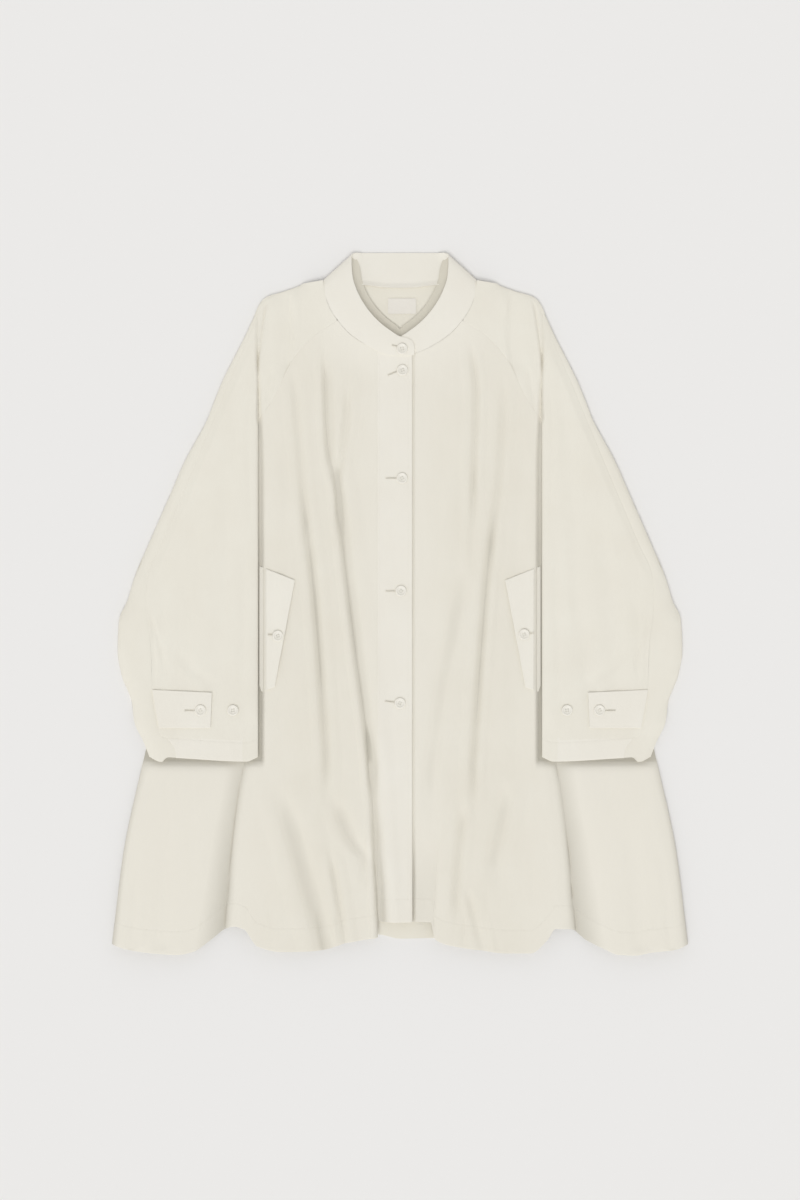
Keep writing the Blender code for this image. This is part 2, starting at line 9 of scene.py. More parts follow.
import bpy
import numpy as np
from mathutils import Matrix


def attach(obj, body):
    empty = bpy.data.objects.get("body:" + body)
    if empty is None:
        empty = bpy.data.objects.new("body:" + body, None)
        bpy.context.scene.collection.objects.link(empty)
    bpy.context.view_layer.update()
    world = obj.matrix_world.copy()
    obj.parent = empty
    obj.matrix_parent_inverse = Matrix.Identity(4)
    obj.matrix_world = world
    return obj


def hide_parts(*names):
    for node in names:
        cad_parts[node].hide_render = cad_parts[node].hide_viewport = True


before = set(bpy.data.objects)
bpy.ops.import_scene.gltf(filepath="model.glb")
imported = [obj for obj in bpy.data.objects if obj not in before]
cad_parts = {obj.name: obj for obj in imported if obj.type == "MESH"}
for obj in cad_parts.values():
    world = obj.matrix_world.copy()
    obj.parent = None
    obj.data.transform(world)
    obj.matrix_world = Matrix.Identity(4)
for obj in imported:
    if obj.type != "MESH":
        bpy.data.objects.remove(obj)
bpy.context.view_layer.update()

MM = 0.001
SEED = 7
CREASE_REACH = 3.4
YOKE_RISE = 2.6
YOKE_REACH = 46.0

# Camera: the photograph is 800 by 1200, and shows 1.43 mm of the coat for each pixel.
MM_PER_PIXEL = 1.43
VIEW_HEIGHT_MM = 1200 * MM_PER_PIXEL
VIEW_CENTRE_Y = 5.0
CAMERA_HEIGHT_MM = 3400.0
SENSOR_MM = 36.0

CLOTH = 1.5
WALL = 1.2
THICK_WALL = 1.4
LAYER = 1.8
FLOOR_LAYER = 2.55
SEAM = 0.05
HEM_WIDTH = 33.0
CUFF_HEM_WIDTH = 27.0
CUFF_FOLD_X = 224.5

PLACKET_OUTER_X = -32.0
PLACKET_FREE_X = 17.0
PLACKET_TOP_Y = 354.0
PLACKET_HEM_Y = -454.0
PLACKET_LIFT = 2.4
SLEEVE_INNER_X = 203.0
SLEEVE_TOP_Y = 456.0
CUFF_Y = -220.0
BELOW_CUFF_Y = -223.0
RAGLAN_FOOT_Y = 262.0
UNDERARM_Y = 255.0
BODY_FOOT_Y = -486.0
BACK_FOOT_Y = -484.0

# Outlines: rows of (x, y), from the collar down, for the half with X positive.
NECK_SEAM = [
    (110, 456), (107, 440), (100, 421), (89, 404), (71, 384),
    (52, 371), (33, 361), (16, 356), (0, 355),
]
FRONT_RAGLAN = [(89, 404), (121, 384), (154, 347), (176, 302), (193, 274), (203, 262)]
BACK_RAGLAN = [(86, 456), (254, 255)]
BODY_SIDE = [(254, 255), (316, 0), (368, -231), (394, -352), (411, -486)]
SLEEVE_EDGE = [
    (138, 455), (163, 446), (191, 437), (200, 428), (210, 405), (223, 377),
    (238, 348), (252, 320), (264, 291), (275, 262), (306, 205), (331, 148),
    (356, 91), (380, 34), (389, 4), (401, -24), (403, -66), (397, -103),
    (383, -140), (378, -172), (366, -197), (357, -220),
]
OVERARM_SEAM = [
    (135, 455), (159, 446), (187, 437), (196, 428), (206, 405), (216, 382),
    (250, 302), (290, 205), (338, 91), (360, 38), (362, 4), (355, -66),
    (353, -122), (343, -177), (320, -210), (319, -220),
]
MIDDLE_EDGE = [(222, -226), (229, -262), (240, -348), (246, -420), (255, -505)]

# Hem lines: rows of (x, y).
BACK_HEM = [
    (-411, -484), (-360, -487), (-317, -486), (-280, -470), (-236, -452), (-200, -470),
    (-150, -480), (-31, -473), (0, -479), (46, -478), (120, -484), (180, -484),
    (225, -454), (270, -466), (317, -486), (360, -487), (411, -484),
]
RIGHT_FRONT_HEM = [
    (-411, -486), (-386, -493), (-352, -498), (-317, -500), (-295, -496), (-272, -481),
    (-249, -464), (-236, -460), (-222, -464), (-203, -488), (-169, -496), (-112, -494),
    (-79, -484), (-32, -476), (-10, -474),
]
LEFT_FRONT_HEM = [
    (-24, -453), (44, -454), (50, -478), (72, -487), (117, -494), (152, -498),
    (186, -498), (209, -480), (222, -463), (243, -464), (266, -480), (289, -491),
    (312, -500), (335, -501), (357, -497), (392, -493), (411, -486),
]
CUFF_HEM = [(203, -219), (219, -225), (315, -220), (332, -219), (340, -226), (357, -219)]

# Height of the middle of the cloth along the coat: (y, body, crown of the sleeve,
# lowest body cloth beside the sleeve and beside the middle panel, sleeve cloth at its inner
# fold, crest of the lobe outside the middle panel).
HEIGHTS = [
    (456, 7.0, 9.0, 7.0, 7.5, 2.6),
    (420, 7.0, 9.5, 7.0, 7.2, 2.6),
    (348, 7.2, 10.0, 5.2, 6.6, 2.6),
    (300, 7.4, 10.6, 3.4, 6.6, 2.6),
    (262, 7.4, 10.8, 2.7, 6.8, 2.6),
    (230, 7.4, 11.0, 2.6, 7.0, 2.6),
    (110, 7.8, 11.5, 2.6, 7.2, 2.6),
    (80, 7.9, 11.6, 2.6, 8.8, 2.6),
    (-150, 8.8, 12.8, 2.6, 8.8, 2.6),
    (-185, 9.2, 12.8, 2.6, 8.4, 2.6),
    (-240, 9.8, 13.0, 2.6, 8.2, 9.4),
    (-290, 11.0, 13.0, 2.6, 8.2, 11.6),
    (-380, 13.0, 13.0, 2.6, 8.2, 14.0),
    (-505, 15.0, 13.0, 2.6, 6.6, 15.5),
]
BODY, CROWN, LOWEST, INNER_FOLD, LOBE = 1, 2, 3, 4, 5

# Body side of the dark gutter between body and sleeve: (x, y).
GUTTER_EDGE = [(201.5, 420), (200.5, 348), (197.0, 290), (193.2, 190), (192.2, -240)]

# Folds of the fronts: the trough's (x, y) at its top, middle and foot, its reach to the left
# and right, its depth, a narrow crease's depth along its middle, and how softly it runs out
# at the top and foot. A negative depth is a ridge.
FOLDS = [
    # x_top, y_top, x_mid, y_mid, x_foot, y_foot, left, right, depth, crease, top_run, foot_run
    (-108, 374, -103.5, 235, -88, 156, 7, 14, 4.3, 1.0, 60, 70),
    (-92, 182, -67, -40, -42, -225, 7, 16, 4.9, 0.9, 70, 60),
    (-50, -165, -37, -300, -27.5, -490, 7, 14, 5.2, 1.2, 60, 1),
    (-42, -270, -34, -370, -26, -490, 7, 17, 5.2, 0.0, 120, 1),
    (-73, 318, -79, 240, -88, 181, 8, 8, 2.5, 0.3, 40, 40),
    (-154, 345, -145, 240, -136, 120, 9, 9, 2.3, 0.5, 50, 60),
    (-142, 200, -121, 0, -106, -205, 9, 10, 4.4, 0.6, 150, 110),
    (-176, -245, -152, -330, -104, -500, 18, 22, 5.2, 0.0, 80, 1),
    (-97, -262, -72, -330, -49, -362, 13, 18, 3.8, 0.0, 50, 50),
    (-102, -338, -90, -410, -75, -500, 7, 9, 3.8, 0.7, 50, 1),
    (-122, 60, -113, -60, -92, -180, 20, 20, 0.7, 0.0, 80, 80),
    (-62, 200, -52, 60, -46, -80, 15, 14, 0.6, 0.0, 90, 90),
    (-186, 100, -172, -100, -165, -230, 20, 22, 0.9, 0.0, 90, 90),
    (-172, 250, -166, 150, -168, 60, 12, 14, 0.7, 0.0, 60, 60),
    (-121, -424, -116, -455, -106, -505, 5, 7, 1.0, 0.4, 30, 1),
    (-96, -426, -90, -455, -84, -505, 4, 6, 0.9, 0.4, 30, 1),
    (99, 388, 109, 300, 106, 190, 9, 7, 3.0, 0.8, 60, 100),
    (107, 215, 104, 160, 102, 90, 8, 7, 1.4, 0.3, 60, 60),
    (150, 332, 143, 195, 132, 90, 10, 8, 2.6, 0.4, 60, 60),
    (139, 200, 122, 10, 105, -225, 10, 8, 4.5, 0.7, 180, 100),
    (100, 78, 64, -101, 43, -240, 16, 13, 2.9, 0.0, 90, 80),
    (93, -272, 84, -350, 79, -415, 10, 9, 3.8, 0.3, 50, 50),
    (92, -390, 104, -440, 122, -505, 8, 10, 2.2, 0.2, 40, 1),
    (157, -245, 146, -300, 134, -360, 16, 14, 3.8, 0.0, 50, 50),
    (58, 300, 54, 120, 44, -60, 16, 16, 0.6, 0.0, 90, 90),
    (172, 40, 166, -120, 170, -240, 20, 20, 0.9, 0.0, 90, 90),
    (80, 250, 84, 120, 76, -20, 12, 12, 0.7, 0.0, 80, 80),
    (176, 250, 168, 150, 166, 60, 12, 12, 0.7, 0.0, 60, 60),
    (90, -424, 92, -455, 88, -505, 5, 6, 0.9, 0.3, 30, 1),
    (120, -430, 122, -460, 128, -505, 6, 5, 0.8, 0.3, 30, 1),
    (-330, -300, -336, -400, -340, -492, 18, 16, 1.3, 0.0, 80, 1),
    (330, -300, 336, -400, 342, -492, 16, 18, 1.3, 0.0, 80, 1),
    (-370, -330, -378, -410, -384, -492, 10, 10, 0.9, 0.0, 70, 1),
    (372, -330, 380, -410, 388, -492, 10, 10, 0.9, 0.0, 70, 1),
]

# Folds of the upper sleeves, for the half with X positive, in the same columns.
SLEEVE_FOLDS = [
    (190, 436, 198, 384, 203, 346, 3, 5, 1.0, 1.8, 14, 20),
    (204, 421, 204, 384, 203, 340, 3, 3, 0.6, 1.6, 12, 20),
    (160, 455, 157, 390, 160, 345, 7, 24, 2.2, 0.2, 20, 30),
    (226, 330, 244, 160, 256, -40, 14, 18, 0.9, 0.0, 90, 120),
    (270, 150, 300, 20, 306, -110, 20, 18, 1.0, 0.0, 90, 80),
    (222, 100, 224, -40, 226, -200, 10, 12, 0.8, 0.0, 80, 60),
    (240, 60, 262, -60, 268, -120, 12, 16, 0.7, 0.0, 70, 40),
    (330, 40, 338, -20, 340, -90, 10, 9, 0.8, 0.0, 50, 40),
    (358, 0, 352, -40, 350, -95, 5, 5, 0.8, 0.5, 30, 30),
    (352, -20, 345, -50, 336, -80, 5, 6, 0.8, 0.3, 20, 25),
    (318, -60, 300, -90, 272, -112, 14, 14, 0.8, 0.0, 20, 20),
    (212, 330, 216, 250, 214, 150, 7, 8, 0.7, 0.2, 60, 60),
    (183, 345, 186, 315, 192, 285, 8, 6, 0.8, 0.2, 20, 20),
]

# Faint pressed creases of the back, in the same columns.
BACK_FOLDS = [
    (-150, 400, -190, 100, -230, -480, 30, 22, 0.5, 0.0, 80, 1),
    (-60, 420, -85, 100, -110, -480, 24, 30, 0.45, 0.0, 90, 1),
    (20, 430, 12, 100, 20, -480, 22, 26, 0.45, 0.0, 90, 1),
    (95, 410, 120, 80, 150, -480, 28, 22, 0.5, 0.0, 90, 1),
    (175, 360, 220, 60, 270, -480, 24, 30, 0.45, 0.0, 90, 1),
    (-270, -60, -310, -250, -340, -480, 20, 24, 0.4, 0.0, 90, 1),
    (300, -80, 330, -260, 350, -480, 22, 20, 0.4, 0.0, 90, 1),
]

# Collar band for one half: seam edge and top edge of each station, and their heights.
COLLAR = [
    # seam_x, seam_y, seam_z, top_x, top_y, top_z
    (0.0, 355.2, 9.3, 0.0, 380.5, 11.2),
    (16.0, 356.2, 9.4, 14.0, 389.0, 11.8),
    (32.9, 361.2, 9.5, 30.5, 402.0, 12.4),
    (51.8, 371.2, 9.6, 45.0, 418.0, 12.8),
    (70.8, 384.2, 9.7, 55.5, 434.0, 13.0),
    (88.8, 404.2, 9.7, 62.5, 449.0, 13.0),
    (99.8, 421.2, 9.6, 67.0, 463.0, 12.8),
    (106.8, 440.2, 9.2, 68.5, 476.0, 12.2),
    (109.4, 452.0, 8.2, 69.0, 487.0, 11.0),
    (109.4, 459.0, 6.4, 69.0, 494.5, 9.0),
    (106.6, 463.0, 4.8, 67.0, 499.0, 7.0),
    (98.0, 461.0, 3.6, 62.0, 501.0, 5.0),
    (82.0, 458.0, 2.6, 57.0, 501.0, 3.2),
    (66.0, 455.5, 2.3, 53.5, 501.0, 1.8),
    (51.5, 455.0, 2.2, 50.0, 501.0, 1.0),
    (20.0, 451.5, 2.2, 18.0, 501.0, 1.0),
    (0.0, 451.0, 2.2, 0.0, 501.0, 1.0),
]
COLLAR_LAP = [
    (20.5, 354.6, 11.2, 20.5, 366.0, 12.2),
    (19.8, 354.2, 11.2, 18.6, 372.5, 12.8),
    (12.0, 353.6, 11.2, 11.0, 377.8, 13.2),
    (0.0, 353.6, 11.2, 0.0, 380.5, 13.4),
]
COLLAR_UNDERLAP = [(-10.0, 355.4, 9.0, -9.0, 378.0, 10.8)]
LAP_RISE = [1.6, 1.0, 0.3]
LAP_DROP = [1.6, 0.9, 0.2]
COLLAR_WALL = 1.7
COLLAR_BOW = 0.7
COLLAR_WIDTH = 44.0
INSIDE_REACH = 12.0
INSIDE_LOW_Z = 3.4

# Corners for one half: sewn top, free top, free foot, sewn foot.
FLAP_CORNERS = [(200.5, 53.2), (150, 33), (179, -119), (200.5, -127)]
TAB_CORNERS = [(353, -123), (268, -127), (270, -177), (343, -177)]

BUTTON_RADIUS = 8.0
BUTTON_THICKNESS = 2.2

# Front buttons as (x, y), and the ends of their buttonholes as (x, y, x, y), from the collar down.
FRONT_BUTTONS = [(3, 363), (3.5, 333), (3, 179), (1.5, 18), (0, -142)]
FRONT_HOLES = [
    (-11, 368, -1, 366), (-17, 326, -3, 332), (-20, 179, 0, 179),
    (-20, 18, -1, 18), (-21, -139, -2, -141),
]
POCKET_BUTTONS = {"right": (-174, -46), "left": (177, -44)}

LABEL_SIZE = (40.0, 22.0)
LABEL_CENTRE = (3.0, 425.0)

# How far each turn or drop of the cloth reaches.
GUTTER_WALL = 7.0
MIDDLE_TURN = 24.0
SIDE_TURN = 24.0
BELOW_CUFF_BLEND = 10.0
UNDERLAP_REACH = 6.0
UNDERLAP_RUN = 4.4

# The lobe outside the middle panel: how far it takes to rise, what the foot adds to that, and
# how much of the rise is a round turn rather than a slope.
LOBE_REACH = 36.0
LOBE_REACH_AT_FOOT = 24.0
LOBE_ROUNDNESS = 0.4

LAP_STEP = 3.4
SLEEVE_EDGE_Z = 3.6

# The sky lights a level surface as a plain one of strength 0.517 would. The key light's tilt is
# in degrees, towards the top and towards the right.
SKY_AT_HORIZON = 0.95
SKY_OVERHEAD = 0.30
KEY_STRENGTH = 1.65
KEY_SPREAD = 45
KEY_TILT = (22, -6, 0)

# Tones of the cloth, in metres: painted shade and a whiter tone. Each ramp says where it starts and
# ends, and its shares there. The painted shade starts where cloth lies below a level that changes along
# the coat, as (y, level) rows say; it also darkens low cloth in the gutters and grows stronger towards
# the hem.
TONE_LEVELS = [(0.420, 0.0072), (-0.190, 0.0090), (-0.505, 0.0150)]
HOLLOW_RAMP = (0.001, 0.009, 0.0, 0.56)
GUTTER_RAMP = (0.0048, 0.0026, 0.0, 0.66)
GUTTER_END = (-0.230, -0.222, 0.0, 1.0)
TONE_STRENGTH = (0.250, -0.120, 0.32, 1.0)
NECK_MIDDLE = (0.0, 0.445, 0.0)
NECK_RAMP = (0.185, 0.095, 0.0, 1.0)
LOBE_RAMP = (0.150, 0.240, 0.0, 0.75)
CENTRE_RAMP = (0.085, 0.035, 0.0, 0.6)


# Helpers: shapes of numbers

def ease(value):
    """Smooth step from 0 to 1."""
    value = np.clip(value, 0.0, 1.0)
    return value * value * (3.0 - 2.0 * value)


def swell(value):
    """Quarter ellipse from 0 to 1, steep at first, as cloth turns over an edge."""
    value = np.clip(value, 0.0, 1.0)
    return np.sqrt(1.0 - (1.0 - value) ** 2)


def smooth_read(at, knots, values):
    """A smooth curve through a table's rows that never overshoots them, flat beyond its ends."""
    knots = np.asarray(knots, float)
    values = np.asarray(values, float)
    rises = np.diff(values) / np.diff(knots)
    same = rises[:-1] * rises[1:] > 0.0
    safe = np.where(same, rises[:-1] + rises[1:], 1.0)
    inner = np.where(same, 2.0 * rises[:-1] * rises[1:] / safe, 0.0)
    slopes = np.concatenate([rises[:1], inner, rises[-1:]])
    at = np.clip(at, knots[0], knots[-1])
    cell = np.clip(np.searchsorted(knots, at) - 1, 0, len(knots) - 2)
    width = knots[cell + 1] - knots[cell]
    t = (at - knots[cell]) / width
    start = (1 + 2 * t) * (1 - t) ** 2 * values[cell] + t * (1 - t) ** 2 * width * slopes[cell]
    end = t * t * (3 - 2 * t) * values[cell + 1] + t * t * (t - 1) * width * slopes[cell + 1]
    return start + end


def x_at(path, y):
    points = np.array(sorted(path, key=lambda point: point[1]), float)
    return smooth_read(y, points[:, 1], points[:, 0])


def y_at(path, x):
    points = np.array(sorted(path), float)
    return smooth_read(x, points[:, 0], points[:, 1])


def height_row(y, column):
    points = np.array(sorted(HEIGHTS), float)
    return np.interp(y, points[:, 0], points[:, column])


def lengths_along(points):
    """How far each point lies from the first one, along their path."""
    steps = np.linalg.norm(np.diff(points, axis=0), axis=1)
    return np.concatenate([[0.0], np.cumsum(steps)])


def distance_to(path, x, y):
    """Shortest distance from each point to a path of (x, y) rows."""
    x, y = np.broadcast_arrays(np.asarray(x, float), np.asarray(y, float))
    nearest = np.full(x.shape, 1.0e6)
    for (x0, y0), (x1, y1) in zip(path[:-1], path[1:]):
        run = (x1 - x0, y1 - y0)
        along = ((x - x0) * run[0] + (y - y0) * run[1]) / (run[0] ** 2 + run[1] ** 2)
        along = np.clip(along, 0.0, 1.0)
        reach = np.hypot(x - x0 - along * run[0], y - y0 - along * run[1])
        nearest = np.minimum(nearest, reach)
    return nearest


GRADIENTS = np.random.default_rng(SEED).uniform(0.0, 2.0 * math.pi, (64, 64))


def soft_noise(x, y, x_size, y_size, shift=0.0):
    """Gradient noise from about -1 to 1, with its grain stretched to the given sizes."""
    u = np.asarray(x, float) / x_size + shift
    v = np.asarray(y, float) / y_size + 0.7 * shift
    cell_u = np.floor(u).astype(int)
    cell_v = np.floor(v).astype(int)
    part_u = u - cell_u
    part_v = v - cell_v
    fade_u = part_u**3 * (part_u * (6 * part_u - 15) + 10)
    fade_v = part_v**3 * (part_v * (6 * part_v - 15) + 10)

    def corner(du, dv):
        angle = GRADIENTS[(cell_u + du) % 64, (cell_v + dv) % 64]
        return np.cos(angle) * (part_u - du) + np.sin(angle) * (part_v - dv)

    low = corner(0, 0) * (1 - fade_u) + corner(1, 0) * fade_u
    high = corner(0, 1) * (1 - fade_u) + corner(1, 1) * fade_u
    return 1.6 * (low * (1 - fade_v) + high * fade_v)


def wrinkles(x, y):
    """Faint unevenness of pressed poplin: long soft runs with small crinkles on them."""
    broad = 0.42 * soft_noise(x, y, 24, 120)
    middle = 0.17 * soft_noise(x, y, 11, 42, 9.3)
    fine = 0.06 * soft_noise(x, y, 5, 14, 21.7)
    return broad + middle + fine


def folds_at(table, x, y):
    """Depth of the table's folds at each point; cloth beside a trough stands up a little."""
    total = np.zeros(np.broadcast(x, y).shape)
    for row in table:
        x_top, y_top, x_mid, y_mid, x_foot, y_foot, left, right = row[:8]
        depth, crease, top_run, foot_run = row[8:]
        centre = smooth_read(y, [y_foot, y_mid, y_top], [x_foot, x_mid, x_top])
        offset = x - centre
        across = np.abs(offset) / np.where(offset < 0, left, right)
        trough = np.clip(1.0 - across**2, 0.0, 1.0) ** 2
        shoulder = np.clip(1.0 - ((across - 1.5) / 0.9) ** 2, 0.0, 1.0) ** 2
        narrow = np.clip(1.0 - np.abs(offset) / CREASE_REACH, 0.0, 1.0) ** 1.5
        along = ease((y_top - y) / top_run) * ease((y - y_foot + foot_run) / foot_run)
        total = total + (depth * (trough - 0.26 * shoulder) + crease * narrow) * along
    return total


# Heights of the cloth

def beside_gutter(beside, y):
    """Body cloth, and how it drops steeply into the gutter beside the sleeve."""
    body = height_row(y, BODY)
    lowest = height_row(y, LOWEST)
    drop = ease((beside - x_at(GUTTER_EDGE, y) + 1.0) / GUTTER_WALL)
    return body - 0.5 * ease((beside - 176.0) / 18.0) + (lowest + 0.5 - body) * drop - 0.5 * drop


def yoke_rise(x, y):
    """Cloth rises towards the stand collar."""
    away = distance_to(NECK_SEAM, np.abs(x), y)
    return YOKE_RISE * (1.0 - np.clip(away / YOKE_REACH, 0.0, 1.0)) ** 2


def front_height(x, y):
    """Middle of the front cloth."""
    beside = np.abs(x)
    body = height_row(y, BODY)
    lowest = height_row(y, LOWEST)
    crest = height_row(y, LOBE)
    upper = beside_gutter(beside, y) + yoke_rise(x, y)
    outside = beside - x_at(MIDDLE_EDGE, y)
    middle = lowest + (body - lowest) * swell(-outside / MIDDLE_TURN)
    across = outside / (LOBE_REACH + LOBE_REACH_AT_FOOT * ease((-240.0 - y) / 200.0))
    rise = LOBE_ROUNDNESS * swell(across) + (1.0 - LOBE_ROUNDNESS) * ease(across)
    lobe = lowest + (crest - lowest) * rise
    lower = np.where(outside < 0.0, middle, np.maximum(lobe, lowest))
    height = upper + (lower - upper) * ease((BELOW_CUFF_Y - y) / BELOW_CUFF_BLEND)
    step = LAP_STEP * ease((-265.0 - y) / 150.0) * ease((x - 12.0) / 10.0)
    step_edge = np.interp(y, [-467, -284], [48, 57])
    height = height - step * (1.0 - swell((x - step_edge) / 10.0)) * (beside < 120)
    free = 1.0 - 0.85 * ease((beside - 188.0) / 8.0) * ease((y + 250.0) / 20.0)
    height = height - (folds_at(FOLDS, x, y) - wrinkles(x, y)) * free
    inside = x_at(BODY_SIDE, y) - beside
    height = FLOOR_LAYER + (height - FLOOR_LAYER) * swell(inside / SIDE_TURN)
    return np.maximum(height, FLOOR_LAYER)


def left_front_height(x, y):
    """Left front, which drops under the placket at the centre, further at the foot."""
    drop = PLACKET_LIFT + 2.6 * ease((-300.0 - y) / 130.0)
    sunk = drop * ease((PLACKET_FREE_X + UNDERLAP_REACH - x) / UNDERLAP_RUN)
    return np.maximum(front_height(x, y) - sunk, FLOOR_LAYER)


def placket_height(x, y):
    """Placket above the left front, sinking under the right front's last fold at the foot."""
    return np.maximum(front_height(x, y), FLOOR_LAYER + PLACKET_LIFT)


def right_front_height(x, y):
    """Right front, which rises to the placket at its sewn edge."""
    level = front_height(x, y)
    near = ease((x - PLACKET_OUTER_X + 16.0) / 16.0)
    return level + (np.maximum(level, FLOOR_LAYER + PLACKET_LIFT) - level) * near


def sleeve_height(x, y):
    """Middle of the upper sleeve cloth, from the raglan seam over to the outer edge."""
    across = np.abs(x)
    crown = height_row(y, CROWN)
    fold = height_row(y, INNER_FOLD)
    past_fold = across - SLEEVE_INNER_X
    round_tube = swell(past_fold / 15.0)
    cuff_slope = np.clip(past_fold / 21.5, 0.0, 1.0) ** 0.8
    shape = round_tube + (cuff_slope - round_tube) * ease((-150.0 - y) / 30.0)
    tube = fold + (crown - fold) * shape
    tube = tube - 1.1 * (1.0 - swell(past_fold / 1.8)) * ease((300.0 - y) / 30.0)
    rising = ease((past_fold + 0.6) / 2.4)
    cap = beside_gutter(across, y) + yoke_rise(x, y)
    height = np.where(past_fold > 0.0, cap + (tube - cap) * np.where(y < 258.0, 1.0, rising), cap)
    seam_trough = np.clip(1.0 - (distance_to(OVERARM_SEAM, across, y) / 12.0) ** 2, 0.0, 1.0) ** 2
    seam_trough = seam_trough * ease((y - 10.0) / 60.0) * ease((400.0 - y) / 60.0)
    folds = folds_at(SLEEVE_FOLDS, across, y) + 1.8 * seam_trough - wrinkles(x, y)
    near_gutter = ease((across - 190.0) / 4.0) * ease((206.0 - across) / 3.0) * ease((330.0 - y) / 30.0)
    height = height - folds * (1.0 - 0.9 * near_gutter)
    rise = swell(distance_to(SLEEVE_EDGE, across, y) / SIDE_TURN)
    return SLEEVE_EDGE_Z + (height - SLEEVE_EDGE_Z) * rise


def under_sleeve_height(x, y):
    """Lower sleeve cloth: on the body, and on the surface outside of it."""
    across = np.abs(x)
    outside = across - x_at(BODY_SIDE, y)
    lying = np.maximum(ease((24.0 - outside) / 20.0), ease((CUFF_Y + 80.0 - y) / 20.0))
    lying = lying * ease((UNDERARM_Y + 22.0 - y) / 20.0)
    flap_below = ease((228.0 - across) / 10.0) * ease((105.0 - y) / 20.0)
    flap_below = flap_below * ease((y + 172.0) / 20.0)
    return 0.75 + lying * (2.0 * LAYER + 0.1) + flap_below * (LAYER + 0.4)


def on_top(height, x, y, reach):
    """Highest cloth within reach of each point, so that a stiffer piece bridges hollows."""
    steps = [(i * reach, j * reach) for i in (-1, 0, 1) for j in (-1, 0, 1)]
    return np.max([height(x + dx, y + dy) for dx, dy in steps], axis=0)


# Materials

def add_node(tree, kind, **settings):
    node = tree.nodes.new(kind)
    for key, value in settings.items():
        setattr(node, key, value)
    return node


def map_range(tree, value, start, end, low, high):
    """Value from low to high as the input goes from start to end, flat beyond them."""
    node = add_node(tree, "ShaderNodeMapRange")
    node.inputs["From Min"].default_value = start
    node.inputs["From Max"].default_value = end
    node.inputs["To Min"].default_value = low
    node.inputs["To Max"].default_value = high
    tree.links.new(value, node.inputs["Value"])
    return node.outputs["Result"]


def combine(tree, operation, first, second):
    node = add_node(tree, "ShaderNodeMath", operation=operation)
    tree.links.new(first, node.inputs[0])
    tree.links.new(second, node.inputs[1])
    return node.outputs[0]


def new_material(name, roughness):
    """A material with its node tree, its shader and the place of each point."""
    material = bpy.data.materials.new(name)
    material.use_nodes = True
    tree = material.node_tree
    shader = tree.nodes["Principled BSDF"]
    shader.inputs["Roughness"].default_value = roughness
    return material, tree, shader, add_node(tree, "ShaderNodeTexCoord").outputs["Object"]


def axes_of(tree, place):
    split = add_node(tree, "ShaderNodeSeparateXYZ")
    tree.links.new(place, split.inputs["Vector"])
    return split.outputs


def noise_at(tree, place, scale, detail=2.0):
    noise = add_node(tree, "ShaderNodeTexNoise")
    noise.inputs["Scale"].default_value = scale
    noise.inputs["Detail"].default_value = detail
    tree.links.new(place, noise.inputs["Vector"])
    return noise.outputs["Fac"]


def two_tones(tree, share, low, high, ends=(0.0, 1.0)):
    """Colour from low to high as the share goes from one end to the other."""
    ramp = add_node(tree, "ShaderNodeValToRGB")
    for element, end, colour in zip(ramp.color_ramp.elements, ends, (low, high)):
        element.position = end
        element.color = (*colour, 1.0)
    tree.links.new(share, ramp.inputs["Fac"])
    return ramp.outputs["Color"]


def bump(tree, height, strength, distance, below=None):
    node = add_node(tree, "ShaderNodeBump")
    node.inputs["Strength"].default_value = strength
    node.inputs["Distance"].default_value = distance
    tree.links.new(height, node.inputs["Height"])
    if below is not None:
        tree.links.new(below, node.inputs["Normal"])
    return node.outputs["Normal"]


def colour_mix(tree, share, first, colour):
    """The first colour with a share of another one mixed in."""
    mix = add_node(tree, "ShaderNodeMix", data_type="RGBA")
    sockets = [part for part in mix.inputs if part.type == "RGBA"]
    tree.links.new(share, mix.inputs["Factor"])
    tree.links.new(first, sockets[0])
    sockets[1].default_value = (*colour, 1.0)
    return next(part for part in mix.outputs if part.type == "RGBA")


def painted_shade_share(tree, place):
    """Share of painted shade where the cloth sinks below a level into hollows or lies low in gutters,
    stronger towards the hem.
    """
    axes = axes_of(tree, place)
    (top_y, top), (middle_y, middle), (foot_y, foot) = TONE_LEVELS
    upper = map_range(tree, axes["Y"], top_y, middle_y, top, middle)
    lower = map_range(tree, axes["Y"], middle_y, foot_y, middle, foot)
    level = combine(tree, "MAXIMUM", upper, lower)
    hollow = map_range(tree, combine(tree, "SUBTRACT", level, axes["Z"]), *HOLLOW_RAMP)
    gutter = map_range(tree, axes["Z"], *GUTTER_RAMP)
    gutter = combine(tree, "MULTIPLY", gutter, map_range(tree, axes["Y"], *GUTTER_END))
    strength = map_range(tree, axes["Y"], *TONE_STRENGTH)
    return combine(tree, "MULTIPLY", combine(tree, "ADD", hollow, gutter), strength)


def white_share(tree, place):
    """Share of the whiter tone: at the neck, where a facing lies inside, the lobes and the centre."""
    neck = add_node(tree, "ShaderNodeVectorMath", operation="DISTANCE")
    neck.inputs[1].default_value = NECK_MIDDLE
    tree.links.new(place, neck.inputs[0])
    beside = add_node(tree, "ShaderNodeMath", operation="ABSOLUTE")
    tree.links.new(axes_of(tree, place)["X"], beside.inputs[0])
    facing = map_range(tree, neck.outputs["Value"], *NECK_RAMP)
    lobe = map_range(tree, beside.outputs[0], *LOBE_RAMP)
    centre = map_range(tree, beside.outputs[0], *CENTRE_RAMP)
    return combine(tree, "MAXIMUM", combine(tree, "MAXIMUM", facing, lobe), centre)


